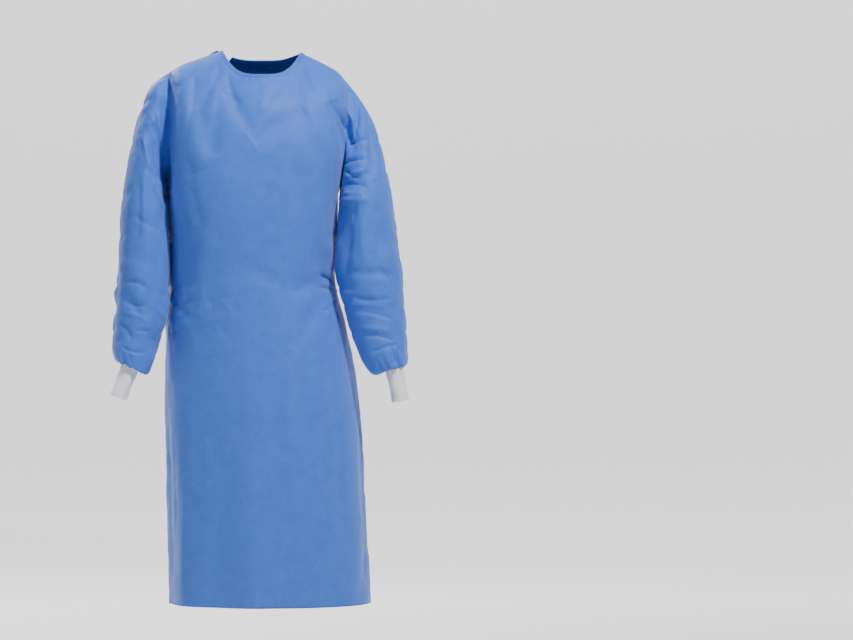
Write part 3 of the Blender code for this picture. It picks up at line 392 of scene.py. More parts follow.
CLOTH_DARK = (0.040, 0.150, 0.62)
CLOTH_LIGHT = (0.050, 0.175, 0.68)
BINDING_DARK = (0.036, 0.138, 0.58)
BINDING_LIGHT = (0.045, 0.160, 0.64)
# The knit's darker colour is painted shade in the dips between its rows.
KNIT_GROOVE_SHADE = (0.70, 0.69, 0.76)
KNIT_LIGHT = (0.95, 0.94, 0.98)
# The tape's darker colour is painted shade between its hooks.
TAPE_SHADE_BETWEEN_HOOKS = (0.66, 0.68, 0.76)
TAPE_LIGHT = (0.93, 0.94, 0.97)

# The photograph's frame and where the front view stands in it.
PHOTO_WIDTH = 853
PHOTO_HEIGHT = 640
PHOTO_SCALE = 0.002162
FRONT_COLUMN = 262
FRONT_ROW = 52
LENS = 170
SENSOR = 36
FLOOR = -1.50
# The studio floor: half its width, its depth behind, the wall's height and the bend's radius.
STUDIO = (16.0, 13.0, 12.0, 3.0)
WORLD_STRENGTH = 0.06
WORLD_SEEN = 0.9
FLOOR_GLOW = 1.0
LIGHTS = (
    ("key_light", (1.8, -2.5, 3.9), (0, 0, -0.5), 0.5, 380),
    ("chest_light", (0.35, -0.95, 0.75), (0, -0.1, -0.12), 0.3, 5),
    ("fill_light", (-3.2, -2.2, 0.6), (0, 0, -0.6), 2.0, 26),
    ("back_light", (-2.6, 3.0, 2.8), (0, 0, -0.5), 0.6, 240),
)


def smooth(low, high, value):
    """0 below low, 1 above high and an even S between them."""
    share = np.clip((value - low) / (high - low), 0.0, 1.0)
    return share * share * (3 - 2 * share)


def unit(vectors):
    return vectors / np.maximum(np.linalg.norm(vectors, axis=-1, keepdims=True), 1e-12)


def through(rows, at):
    """A Catmull-Rom curve through the rows, read at row numbers that may lie between two rows."""
    rows = np.asarray(rows, float)
    padded = np.vstack([2 * rows[0] - rows[1], rows, 2 * rows[-1] - rows[-2]])
    at = np.asarray(at, float)
    first = np.clip(np.floor(at).astype(int), 0, len(rows) - 2)
    f = (at - first)[..., None]
    a, b, c, d = (padded[first + k] for k in range(4))
    return b + 0.5 * f * (c - a + f * (2 * a - 5 * b + 4 * c - d + f * (3 * b - 3 * c + d - a)))


def centripetal(points, share):
    """The curve through four point arrays, between the second and the third of them."""
    knots = [np.zeros(points[0].shape[:-1] + (1,))]
    for before, after in zip(points, points[1:]):
        gap = np.linalg.norm(after - before, axis=-1, keepdims=True)
        knots.append(knots[-1] + np.sqrt(np.maximum(gap, 1e-9)))
    t = knots[1] + (knots[2] - knots[1]) * share

    def mix(i, j, low, high):
        return low + (high - low) * (t - knots[i]) / (knots[j] - knots[i])

    line = [mix(k, k + 1, points[k], points[k + 1]) for k in range(3)]
    curve = [mix(k, k + 2, line[k], line[k + 1]) for k in range(2)]
    return mix(1, 2, curve[0], curve[1])


def body_base(angle, level):
    """The body tube before its folds."""
    rows = np.array(list(BODY_RINGS.values()))
    sine, cosine = np.sin(angle), np.cos(angle)
    above = through(rows[: SHOULDER + 1], np.minimum(level, SHOULDER))
    below = through(rows[SHOULDER:], np.maximum(level, SHOULDER) - SHOULDER)
    bent = np.where(np.asarray(level)[..., None] < SHOULDER, above, below)
    near_side = (np.abs(sine) ** BEND_FOCUS)[..., None]
    ring = through(rows, level) * (1 - near_side) + bent * near_side
    ring = dict(zip(BODY_COLUMNS, np.moveaxis(ring, -1, 0)))
    centre = (ring["left_x"] + ring["right_x"]) / 2
    half_width = (ring["left_x"] - ring["right_x"]) / 2
    depth = np.where(cosine > 0, ring["side_y"] - ring["front_y"], ring["back_y"] - ring["side_y"])
    power = ring["square"]
    radius = (np.abs(cosine / depth) ** power + np.abs(sine / half_width) ** power) ** (-1 / power)
    side_z = np.where(sine > 0, ring["left_z"], ring["right_z"])
    middle_z = np.where(cosine > 0, ring["front_z"], ring["back_z"])
    sideways = sine**4
    height = side_z * sideways + middle_z * (1 - sideways)
    return np.stack([centre + radius * sine, ring["side_y"] - radius * cosine, height], axis=-1)


def normals_of(surface, first, second):
    """Outward normals of a surface by differences over both of its coordinates."""
    across = surface(first + STEP, second) - surface(first - STEP, second)
    down = surface(first, second + STEP) - surface(first, second - STEP)
    return unit(np.cross(down, across))


def fold_height(points, normals):
    """How far the folds move each point along its normal."""
    height = np.zeros(points.shape[:-1])
    for row in FOLDS:
        fold = dict(zip(FOLD_COLUMNS, row))
        run = np.array([fold["x1"] - fold["x0"], fold["z1"] - fold["z0"]])
        away = points[..., [0, 2]] - np.array([fold["x0"], fold["z0"]])
        along = np.clip(away @ run / (run @ run), 0, 1)
        off = np.linalg.norm(away - along[..., None] * run, axis=-1)
        taper = np.sqrt(4 * along * (1 - along))
        facing = -normals[..., 1] if fold["side"] == "front" else normals[..., 1]
        shape = np.exp(-((off / fold["width"]) ** 2)) * taper * smooth(0.02, 0.35, facing)
        height += fold["depth"] * shape
    return height


def flute_height(angle, height):
    """Soft vertical flutes that deepen from the hips to the hem."""
    wave = sum(size * np.cos(count * angle + math.radians(at)) for count, size, at in FLUTES)
    return wave * smooth(-FLUTE_TOP, -FLUTE_FULL, -height)


def body(angle, level):
    angle, level = np.broadcast_arrays(np.asarray(angle, float), np.asarray(level, float))
    base = body_base(angle, level)
    normals = normals_of(body_base, angle, level)
    height = fold_height(base, normals) * smooth(0.3, 1.3, level) + flute_height(angle, base[..., 2])
    return base + normals * height[..., None]


def armhole(arm, turn, scale=1.0):
    """Angle and level of the armhole: turn is 0 at the shoulder and a quarter turn at the front."""
    level = ARMHOLE_LEVEL - scale * ARMHOLE_REACH * np.cos(turn)
    swing = np.where(np.sin(turn) > 0, ARMHOLE_FRONT, ARMHOLE_BACK)
    angle = math.pi / 2 - scale * swing * np.sin(turn)
    return (angle if arm == "left" else -angle), level


def sleeve_ring(arm, index, turn):
    row = dict(zip(SLEEVE_COLUMNS, SLEEVE_RINGS[arm][index]))
    outer = np.array([row["outer_x"], row["centre_y"], row["outer_z"]])
    inner = np.array([row["inner_x"], row["centre_y"], row["inner_z"]])
    front = np.array([0.0, -row["half_depth"], 0.0])
    cosine, sine = np.cos(turn)[..., None], np.sin(turn)[..., None]
    return (outer + inner) / 2 + cosine * (outer - inner) / 2 + sine * front


def sleeve_base(arm, turn, level):
    """The sleeve tube before its folds. Level 0 is the armhole."""
    turn, level = np.broadcast_arrays(turn, level)
    turns, which = np.unique(turn, return_inverse=True)
    which = which.reshape(turn.shape)
    rings = [body(*armhole(arm, turns, 1.5)), body(*armhole(arm, turns))]
    rings += [sleeve_ring(arm, k, turns) for k in range(SLEEVE_END)]
    rings.append(2 * rings[-1] - rings[-2])
    rings = np.array(rings)
    first = np.clip(np.floor(level).astype(int), 0, SLEEVE_END - 1)
    points = [rings[first + k, which] for k in range(4)]
    return centripetal(points, (level - first)[..., None])


def sleeve(arm, turn, level):
    turn, level = np.broadcast_arrays(np.asarray(turn, float), np.asarray(level, float))
    base = sleeve_base(arm, turn, level)
    normals = sleeve_normals(lambda a, b: sleeve_base(arm, a, b), arm, turn, level)
    gather = smooth(GATHER_START, GATHER_FULL, level)
    gather = gather * (1 - GATHER_LOSS * smooth(SLEEVE_END - 1, SLEEVE_END, level))
    height = fold_height(base, normals) * smooth(0, 0.6, level)
    height += GATHER_DEPTH * np.cos(GATHERS * turn) * gather
    return base + normals * height[..., None]


def sleeve_normals(surface, arm, turn, level):
    normals = normals_of(surface, turn, level)
    return -normals if arm == "left" else normals


def armhole_turns():
    """Turns from the armhole's top to its foot: halfway between even turns and even levels."""
    share = np.linspace(0, 1, ROWS_ARMHOLE + 1)
    return (share * math.pi + np.arccos(1 - 2 * share)) / 2


def panel_levels():
    """Levels of the body rows; those beside the armhole follow its turns."""
    beside = ARMHOLE_LEVEL - ARMHOLE_REACH * np.cos(armhole_turns())
    above = np.linspace(NECK_EDGE, SHOULDER, ROWS_NECK + 1)[:-1]
    below = np.linspace(UNDERARM, HEM, ROWS_SKIRT + 1)[1:]
    return np.concatenate([above, beside, below])


def armhole_swing(levels, swing):
    """How far the armhole cuts into a panel at each level."""
    share = np.clip((levels - ARMHOLE_LEVEL) / ARMHOLE_REACH, -1, 1)
    return swing * np.sqrt(1 - share**2)


def read_table(table, at):
    levels, values = zip(*table)
    return np.interp(at, levels, values)


def back_surface(arm):
    """The body surface with one back panel stepped in or out where the two overlap."""
    def surface(angle, level):
        points = body(angle, level)
        normals = normals_of(body_base, angle, level)
        if arm == "left":
            step = -OVERLAP_STEP * smooth(math.pi - 2 * OVERLAP_FADE, math.pi - OVERLAP_FADE, angle)
        else:
            step = OVERLAP_STEP * smooth(-2 * OVERLAP_FADE, -OVERLAP_FADE, math.pi - angle)
        return points + normals * step[..., None]

    return surface


def flap_grid(surface, levels, shares):
    """The turned-out corner over the panel, by rows along the fold and shares of its width."""
    fold = np.radians(read_table(RIGHT_EDGE, levels))
    row = {"edge_angle": [(r[0], r[1]) for r in FLAP], "edge_level": [(r[0], r[2]) for r in FLAP]}
    edge_angle = np.radians(read_table(row["edge_angle"], levels))
    edge_level = read_table(row["edge_level"], levels)
    angle = fold + (edge_angle - fold) * shares
    level = levels + (edge_level - levels) * shares
    middle = flap_middle(levels)
    lift = 2 * (FLAP_TURN_END + (FLAP_TURN - FLAP_TURN_END) * middle)
    lift = lift + FLAP_LIFT * np.sin(shares * math.pi / 2) * middle
    normals = normals_of(surface, angle, level)
    return surface(angle, level) + normals * lift[..., None], -normals


def flap_middle(levels):
    """1 along the middle of the fold and 0 at its two ends."""
    return smooth(NECK_EDGE, 1.0, levels) * (1 - smooth(3.4, FLAP_END, levels))


def level_at(angle, height):
    """The body level whose ring passes a height at an angle."""
    levels = np.linspace(0, HEM, 40 * HEM + 1)
    heights = body_base(np.full_like(levels, angle), levels)[:, 2]
    return np.interp(-height, -heights, levels)


def lattice_noise(points):
    """Smooth noise from -1 to 1 with one value at each whole point of a lattice."""
    cell = np.floor(points)
    share = points - cell
    blend = share * share * share * (share * (share * 6 - 15) + 10)
    total = 0.0
    for corner in np.ndindex(2, 2, 2):
        at = cell + corner
        seed = at[..., 0] * 127.1 + at[..., 1] * 311.7 + at[..., 2] * 74.7
        value = np.mod(np.sin(seed) * 43758.5453, 1.0)
        weight = np.prod(np.where(corner, blend, 1 - blend), axis=-1)
        total = total + value * weight
    return 2 * total - 1


def crumple(points):
    """Small uneven crinkles of the stiff cloth, stronger on the sleeves and at the waist."""
    turned = points @ TURN.T
    where = 0.55 + 0.45 * lattice_noise(points * 9)
    busy = 0.35 + 0.65 * smooth(0.17, 0.24, np.abs(points[..., 0] - 0.01))
    busy += 0.45 * np.exp(-(((points[..., 2] + 0.52) / 0.09) ** 2))
    height = 0.0
    for size, depth in CRINKLES:
        valley = np.sqrt(lattice_noise(turned / size) ** 2 + 0.012)
        height = height + depth * (valley - 0.35)
    return height * where * np.clip(busy, 0, 1.2)


def crease_height(points, normals):
    """How far the listed creases move each point along its normal."""
    height = np.zeros(points.shape[:-1])
    for view, (azimuth, centre, top, scale) in VIEWS.items():
        turn = math.radians(azimuth)
        across = np.array([math.cos(turn), math.sin(turn), 0.0])
        toward = np.array([math.sin(turn), -math.cos(turn), 0.0])
        facing = smooth(0.0, 0.4, normals @ toward)
        place = np.stack([points @ across / scale + centre, top - points[..., 2] / scale], axis=-1)
        seen = facing > 0
        place, total = place[seen], np.zeros(int(seen.sum()))
        wobble = lattice_noise(np.append(place / 22, np.full((len(place), 1), azimuth), axis=-1))
        for row in CREASES[view]:
            fold = dict(zip(CREASE_COLUMNS, row))
            run = np.array([fold["x1"] - fold["x0"], fold["y1"] - fold["y0"]], float)
            away = place - np.array([fold["x0"], fold["y0"]])
            reach = (np.abs(run) / 2 + abs(fold["bow"]) + fold["width"] / 1000 / scale * CREASE_REACH)
            near = np.flatnonzero((np.abs(away - run / 2) < reach).all(axis=-1))
            away = away[near]
            along = away @ run / (run @ run)
            off = (away[:, 0] * run[1] - away[:, 1] * run[0]) / np.sqrt(run @ run)
            inside = np.clip(along, 0, 1)
            off = off - 4 * fold["bow"] * inside * (1 - inside) + WOBBLE * wobble[near]
            width = fold["width"] / 1000 / scale * (1 + fold["skew"] * np.sign(off))
            width = width * (0.7 + 0.5 * inside)
            size = np.abs(off) / width
            crisp = np.exp(-1.5 * (np.sqrt(size**2 + 0.05) - 0.22))
            shape = (1 - fold["sharp"]) * np.exp(-(size**2)) + fold["sharp"] * crisp
            taper = smooth(0, 0.3, inside) * smooth(0, 0.25, 1 - inside)
            total[near] += CREASE_DEPTH * fold["height"] / 1000 * shape * taper
        height[seen] += total * facing[seen]
    return height


def grid_faces(points, normals, start):
    """Quads of a grid of points, wound so that they face the way its normals point."""
    rows, columns = points.shape[:2]
    corner = np.arange((rows - 1) * columns).reshape(rows - 1, columns)[:, :-1]
    quads = np.stack([corner, corner + 1, corner + 1 + columns, corner + columns], axis=-1)
    quads = quads.reshape(-1, 4)
    flat = points.reshape(-1, 3)
    facing = np.cross(flat[quads[:, 2]] - flat[quads[:, 0]], flat[quads[:, 3]] - flat[quads[:, 1]])
    agrees = (facing * normals.reshape(-1, 3)[quads[:, 0]]).sum() > 0
    return (quads if agrees else quads[:, ::-1]) + start


def cloth_uv(points):
    """Lengths along and across a grid of points, in metres."""
    across = np.linalg.norm(np.diff(points, axis=1), axis=-1)
    down = np.linalg.norm(np.diff(points, axis=0), axis=-1)
    middle = points.shape[1] // 2
    u = np.zeros(points.shape[:2])
    v = np.zeros(points.shape[:2])
    u[:, 1:] = np.cumsum(across, axis=1)
    u -= u[:, middle : middle + 1]
    v[1:] = np.cumsum(down, axis=0)
    return np.stack([u, -v], axis=-1)


def add_piece(name, patches, finish, shape=True):
    """Joins grids of (points, normals) that share edges, creases them and makes the piece."""
    points = np.concatenate([p.reshape(-1, 3) for p, _ in patches])
    normals = np.concatenate([n.reshape(-1, 3) for _, n in patches])
    lengths = np.concatenate([cloth_uv(p).reshape(-1, 2) for p, _ in patches])
    faces, start = [], 0
    for grid, facing in patches:
        faces.append(grid_faces(grid, facing, start))
        start += grid.shape[0] * grid.shape[1]
    faces = np.concatenate(faces)
    keys = np.round(points / WELD).astype(np.int64)
    _, keep, index = np.unique(keys, axis=0, return_index=True, return_inverse=True)
    index = index.reshape(-1)
    total = np.zeros((len(keep), 3))
    np.add.at(total, index, normals)
    facing, joined = unit(total), points[keep]
    if shape:
        height = crease_height(joined, facing) + crumple(joined)
        from_neck = np.hypot(joined[:, 0], joined[:, 1]) + np.maximum(-0.1 - joined[:, 2], 0)
        height *= smooth(NECK_CALM, NECK_FREE, from_neck)
        joined = joined + facing * height[:, None]
    mesh = bpy.data.meshes.new(name)
    quads = index[faces]
    corners = quads != np.roll(quads, 1, axis=1)
    sides = corners.sum(axis=1)
    corners &= (sides > 2)[:, None]
    sides = sides[sides > 2]
    ends = np.cumsum(sides)[:-1]
    mesh.from_pydata(joined.tolist(), [], [f.tolist() for f in np.split(quads[corners], ends)])
    layer = mesh.uv_layers.new(name="cloth")
    layer.uv.foreach_set("vector", lengths[faces[corners]].reshape(-1))
    mesh.validate()
    mesh.materials.append(finish)
    mesh.shade_smooth()
    made = bpy.data.objects.new(name, mesh)
    bpy.context.scene.collection.objects.link(made)
    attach(made, "root")
    return made


def hemmed(points, normals, turn_in):
    """Adds rows that turn a grid's last row in behind itself, as a narrow folded edge."""
    rows = [points]
    facing = [normals]
    last, inward = points[-1:], unit(points[-2:-1] - points[-1:])
    for back, behind in ((0.0002, 0.0007), (0.002, 0.0012), (turn_in, 0.0012)):
        rows.append(last + inward * back - normals[-1:] * behind)
        facing.append(normals[-1:])
    return np.concatenate(rows), np.concatenate(facing)


def turned(grid):
    return np.swapaxes(grid, 0, 1)


def body_patch(angle, level):
    angle, level = np.broadcast_arrays(angle, level)
    points, normals = body(angle, level), normals_of(body, angle, level)
    return hemmed(points, normals, HEM_TURN)


def sleeve_patch(arm, turn, level):
    turn, level = np.broadcast_arrays(turn, level)
    points = sleeve(arm, turn, level)
    return points, sleeve_normals(lambda a, b: sleeve(arm, a, b), arm, turn, level)


def cap_patch(arm, face):
    """The part of a panel that lies over the upper arm, from the armhole out to its seam."""
    turns = armhole_turns() * (1 if face == "front" else -1)
    levels = np.linspace(0, ARMHOLE_SEAM, COLUMNS_CAP + 1)
    return sleeve_patch(arm, turns[:, None], levels[None, :])


def front_panel(finish):
    levels = panel_levels()[:, None]
    edge = math.pi / 2 - armhole_swing(levels, ARMHOLE_FRONT)
    angle = edge * np.linspace(-1, 1, COLUMNS_FRONT + 1)[None, :]
    patches = [body_patch(angle, levels)] + [cap_patch(arm, "front") for arm in ("left", "right")]
    return add_piece("front_cloth", patches, finish)


def back_angles(arm, levels):
    """Angles of a back panel's columns, from its side or shoulder seam to its free edge."""
    cut = armhole_swing(levels, ARMHOLE_BACK)
    share = np.linspace(0, 1, COLUMNS_BACK + 1)[None, :]
    if arm == "left":
        start, end = math.pi / 2 + cut, np.radians(read_table(LEFT_EDGE, levels))
    else:
        start, end = 1.5 * math.pi - cut, np.radians(read_table(RIGHT_EDGE, levels))
    return start + (end - start) * share


def flap_patch(surface, levels):
    """The corner of the right panel turned out over itself: round the fold, then along the body."""
    fold = np.radians(read_table(RIGHT_EDGE, levels))
    radius = (FLAP_TURN_END + (FLAP_TURN - FLAP_TURN_END) * flap_middle(levels))[..., None]
    start = surface(fold, levels)
    normal = normals_of(surface, fold, levels)
    along = unit(np.gradient(start[:, 0], axis=0))[:, None]
    inward = unit(np.cross(along, normal))
    points, facing = [start], [normal]
    for turn in range(20, 180, 20):
        bend = math.radians(turn)
        points.append(start + radius * (inward * math.sin(bend) + normal * (1 - math.cos(bend))))
        facing.append(normal * math.cos(bend) - inward * math.sin(bend))
    over, over_facing = flap_grid(surface, levels, np.linspace(0, 1, COLUMNS_FLAP + 1)[None, :])
    points.append(over)
    facing.append(over_facing)
    return np.concatenate(points, axis=1), unit(np.concatenate(facing, axis=1))


def back_panel(arm, finish):
    levels = panel_levels()[:, None]
    angle, level = np.broadcast_arrays(back_angles(arm, levels), levels)
    surface = back_surface(arm)
    grid = hemmed(surface(angle, level), normals_of(surface, angle, level), HEM_TURN)
    patches = [grid, cap_patch(arm, "back")]
    if arm == "right":
        patches.append(flap_patch(surface, levels[levels[:, 0] <= FLAP_END]))
    else:
        edge = [turned(g[:, -3:]) for g in grid]
        patches.append([turned(g[2:]) for g in hemmed(*edge, EDGE_TURN)])
    return add_piece(f"back_{arm}_cloth", patches, finish)


def sleeve_tube(arm, finish):
    half = armhole_turns()
    turns = np.concatenate([half, 2 * math.pi - half[-2::-1]])
    levels = np.linspace(ARMHOLE_SEAM, SLEEVE_END, ROWS_SLEEVE + 1)
    turn, level = np.broadcast_arrays(turns[None, :], levels[:, None])
    points, normals = sleeve_patch(arm, turn, level)
    near_end = smooth(SLEEVE_END - 2.6, SLEEVE_END - 1.0, level)
    near_end = near_end * (1 - 0.85 * smooth(SLEEVE_END - 0.8, SLEEVE_END, level))
    height = 0.0
    for count, size, phase in PLEATS:
        height = height + size * np.cos(count * turn + phase + 0.8 * np.sin(2 * turn + phase))
    points = points + normals * (height * near_end)[..., None]
    return add_piece(f"sleeve_{arm}_cloth", [(points, normals)], finish)


def cuff(arm, finish):
    """A ribbed knit tube that hangs from inside the sleeve's gathered end."""
    row = dict(zip(SLEEVE_COLUMNS, SLEEVE_RINGS[arm][-1]))
    outer = np.array([row["outer_x"], row["centre_y"], row["outer_z"]])
    inner = np.array([row["inner_x"], row["centre_y"], row["inner_z"]])
    across = unit(outer - inner)
    front = np.array([0.0, -1.0, 0.0])
    down = unit(np.cross(across, front) if arm == "left" else np.cross(front, across))
    turns = np.linspace(0, 2 * math.pi, 6 * KNIT_RIBS + 1)
    ribs = KNIT_HEIGHT * np.abs(np.cos(KNIT_RIBS * turns / 2)) ** 0.7
    grid, facing = [], []
    for share, behind in KNIT_ROWS:
        centre = (outer + inner) / 2 + down * (SEAM_GAP + CUFF_LENGTH * share)
        centre = centre + front * CUFF_SWING * max(share, 0) ** 1.5
        ease = 1 - CUFF_EASE * math.sin(math.pi * min(max(share, 0), 1))
        sway = 0.0006 * np.sin(2 * turns + 7 * share) + 0.0004 * np.sin(3 * turns - 11 * share)
        around = across * np.cos(turns)[:, None] * CUFF_HALF_WIDTH * ease
        around = around + front * np.sin(turns)[:, None] * CUFF_HALF_DEPTH * ease
        outward = across * np.cos(turns)[:, None] * CUFF_HALF_DEPTH
        outward = unit(outward + front * np.sin(turns)[:, None] * CUFF_HALF_WIDTH)
        lift = sway + (ribs if behind < CUFF_WALL / 2 else -ribs) - behind
        grid.append(centre + around + outward * lift[:, None])
        facing.append(outward)
    patch = (np.array(grid), np.array(facing))
    return add_piece(f"cuff_{arm}_knit", [patch], finish, shape=False)


def ribbon(name, centre, across, face, width, thick, finish, relief=None, folded=False):
    """A flat band along a centre line: closed, or folded double with its lower edge left open."""
    share = np.linspace(-0.5, 0.5, RIBBON_COLUMNS + 1)
    rim = np.clip((0.5 - np.abs(share)) * RIBBON_COLUMNS, 0, 1) ** 0.5
    along = np.linspace(0, 1, len(centre))[:, None]
    lift = np.zeros((len(centre), len(share))) if relief is None else relief(along, share[None, :])
    flat = centre[:, None] + across[:, None] * share[None, :, None] * width[:, None, None]
    top = flat + face[:, None] * (thick * (0.5 + 0.5 * rim)[None, :, None] + lift[..., None])
    low = flat + face[:, None] * (thick * (0.5 - 0.5 * rim)[None, :, None] + lift[..., None])
    around = np.concatenate([top, low[:, -2::-1]], axis=1)
    facing = np.concatenate([np.repeat(face[:, None], len(share), axis=1),
                             -np.repeat(face[:, None], len(share) - 1, axis=1)], axis=1)
    if folded:
        open_patch = (around[:, :-1], facing[:, :-1])
        return add_piece(name, [open_patch], finish, shape=False)
    middle = flat.mean(axis=1, keepdims=True) + face[:, None] * thick / 2
    caps = np.repeat(middle[[0, -1]], around.shape[1], axis=1)
    around = np.concatenate([caps[:1], around, caps[1:]])
    facing = np.concatenate([facing[:1], facing, facing[-1:]])
    return add_piece(name, [(around, facing)], finish, shape=False)


def strip_path(name, sections):
    arm, table = STRIPS[name]
    rows = through(table, np.linspace(0, len(table) - 1, sections + 1))
    row = dict(zip(STRIP_COLUMNS, rows.T))
    surface = back_surface(arm)
    angle = np.radians(row["angle"])
    level = np.array([level_at(a, h) for a, h in zip(angle, row["height"])])
    normal = normals_of(body_base, angle, level)
    east = unit(body_base(angle + STEP, level) - body_base(angle - STEP, level))
    up = np.cross(east, normal)
    up = up * np.sign(up[:, 2:])
    centre = surface(angle, level) + normal * row["lift"][:, None]
    path = unit(np.gradient(centre, axis=0))
    lay, roll = np.radians(row["lay"])[:, None], np.radians(row["roll"])[:, None]
    across = east * np.cos(lay) + up * np.sin(lay)
    face = unit(np.cross(across, path))
    face = face * np.sign((face[:1] * normal[:1]).sum())
    rolled = across * np.cos(roll) + face * np.sin(roll)
    face = face * np.cos(roll) - across * np.sin(roll)
    return centre, rolled, face, row["width"]


def strip(name, finish, sections, relief):
    centre, across, face, width = strip_path(name, sections)
    made = ribbon(f"{name}_cloth", centre, across, face, width, TIE_THICK, finish, relief)
    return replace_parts(made, name)


def tie_relief(along, share):
    """Folded edges and a stitch line of a narrow tie, with slight waves."""
    edge = 0.0003 * np.exp(-(((np.abs(share) - 0.38) / 0.06) ** 2))
    return 0.0005 * np.sin(31 * along + 4 * share) * np.sin(9 * along) - edge


def belt_relief(along, share):
    """Creases that run along a soft folded belt."""
    lines = 0.0006 * np.cos(14 * share + 3 * np.sin(5 * along)) + 0.0005 * np.cos(27 * share - 4 * along)
    return lines + 0.0007 * np.sin(13 * along + 5 * share)


def wrap_relief(along, share):
    """Pleats of the band that is pulled tight over the knot."""
    return 0.0013 * np.abs(np.sin(11 * share + 0.9 * np.sin(3 * along))) - 0.0008


def neck_band(finish):
    """The bound edge of the neckline, from the left panel's free edge round to the fold."""
    start = np.radians(RIGHT_EDGE[0][1]) - 2 * math.pi
    end = np.radians(read_table(LEFT_EDGE, NECK_EDGE))
    angle = np.linspace(start, end, 520)
    surface = back_surface("left")
    low = surface(angle, np.full_like(angle, 1.06 * NECK_EDGE))
    high = surface(angle, np.zeros_like(angle))
    face = normals_of(surface, angle, np.full_like(angle, NECK_EDGE / 2))
    width = np.linalg.norm(high - low, axis=-1)

    def relief(along, share):
        run = 610 * along
        pucker = np.sin(run + 2 * np.sin(0.37 * run)) * (0.6 + 0.4 * np.sin(0.13 * run))
        seam = 0.0006 * np.exp(-(((share + 0.3) / 0.07) ** 2))
        return 0.00045 * pucker * (0.5 - share) - seam

    centre = (low + high) / 2 - face * (BINDING_WALL - 0.0008)
    made = ribbon("neck_binding_cloth", centre, unit(high - low), face, width, BINDING_WALL,
                  finish, relief, folded=True)
    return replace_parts(made, "neck_binding")


def flap_band(finish):
    """The rest of the neck binding, along the turned-out corner's edge from the fold to its tip."""
    levels = np.linspace(NECK_EDGE + 0.02, FLAP_TIP, 160)[:, None]
    edge, facing = flap_grid(back_surface("right"), levels, np.array([[1.0]]))
    before, _ = flap_grid(back_surface("right"), levels, np.array([[0.9]]))
    edge, facing, reach = edge[:, 0], -facing[:, 0], unit(edge - before)[:, 0]
    width = np.full(len(edge), FLAP_BINDING + 0.002)
    centre = edge + reach * (FLAP_BINDING / 2 - 0.001) - facing * 0.0004

    def relief(along, share):
        run = 150 * along
        pucker = np.sin(run + 2 * np.sin(0.37 * run))
        return 0.00035 * pucker * (0.5 + share) - 0.0005 * np.exp(-(((share + 0.3) / 0.07) ** 2))

    made = ribbon("flap_binding_cloth", centre, reach, facing, width, 0.0026, finish,
                  relief, folded=True)
    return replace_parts(made, "flap_binding")


def tape_relief(along, share):
    rim = np.exp(-(((np.abs(share) - 0.41) / 0.035) ** 2))
    return -0.0003 * rim + 0.0004 * np.sin(9 * along + 1)


def hook_band(finish):
    """The straight tape sewn below the binding of the left panel."""
    surface = back_surface("left")
    along = np.linspace(0, 1, 120)
    angle = np.radians(HOOK_ANGLE + HOOK_SPAN * along)
    top = HOOK_LEVEL + HOOK_SLANT * along
    high, low = surface(angle, top), surface(angle, top + HOOK_DROP)
    face = normals_of(surface, angle, top + HOOK_DROP / 2)
    high, low = high + face * SEAT_GAP, low + face * (SEAT_GAP + HOOK_LIFT)
    made = ribbon("hook_tape_band", (high + low) / 2, unit(high - low), face,
                  np.linalg.norm(high - low, axis=-1), TAPE_THICK, finish, tape_relief)
    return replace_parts(made, "hook_tape")


def loop_band(finish):
    """The matching tape along the edge of the turned-out corner, on the side that faces out."""
    levels = np.linspace(*LOOP_LEVELS, 90)[:, None]
    ends, facing = flap_grid(back_surface("right"), levels, np.array([LOOP_SHARES]))
    face = -facing.mean(axis=1)
    face = face * np.sign(face[:, 1:2])
    ends = ends + face[:, None] * (WALL / 4 + TAPE_LIFT / 2)
    made = ribbon("loop_tape_band", ends.mean(axis=1), unit(ends[:, 1] - ends[:, 0]), face,
                  np.linalg.norm(ends[:, 1] - ends[:, 0], axis=-1), TAPE_THICK, finish,
                  tape_relief)
    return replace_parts(made, "loop_tape")


def node(tree, kind, **values):
    made = tree.nodes.new(kind)
    for name, value in values.items():
        if hasattr(made, name):
            setattr(made, name, value)
        else:
            made.inputs[name.replace("_", " ")].default_value = value
    return made


def link(tree, source, output, target, socket):
    tree.links.new(source.outputs[output], target.inputs[socket])


def ramp(tree, source, output, low, high, dark, light):
    """Turns a value between low and high into a colour between dark and light."""
    made = node(tree, "ShaderNodeValToRGB")
    made.color_ramp.elements[0].position = low
    made.color_ramp.elements[1].position = high
    made.color_ramp.elements[0].color = (*dark, 1)
    made.color_ramp.elements[1].color = (*light, 1)
    link(tree, source, output, made, "Fac")
    return made


def new_material(name, roughness, sheen):
    made = bpy.data.materials.new(name)
    made.use_nodes = True
    tree = made.node_tree
    shader = tree.nodes["Principled BSDF"]
    shader.inputs["Roughness"].default_value = roughness
    shader.inputs["Sheen Weight"].default_value = sheen
    shader.inputs["Sheen Roughness"].default_value = 0.5
    shader.inputs["Specular IOR Level"].default_value = 0.3
    return made, tree, shader


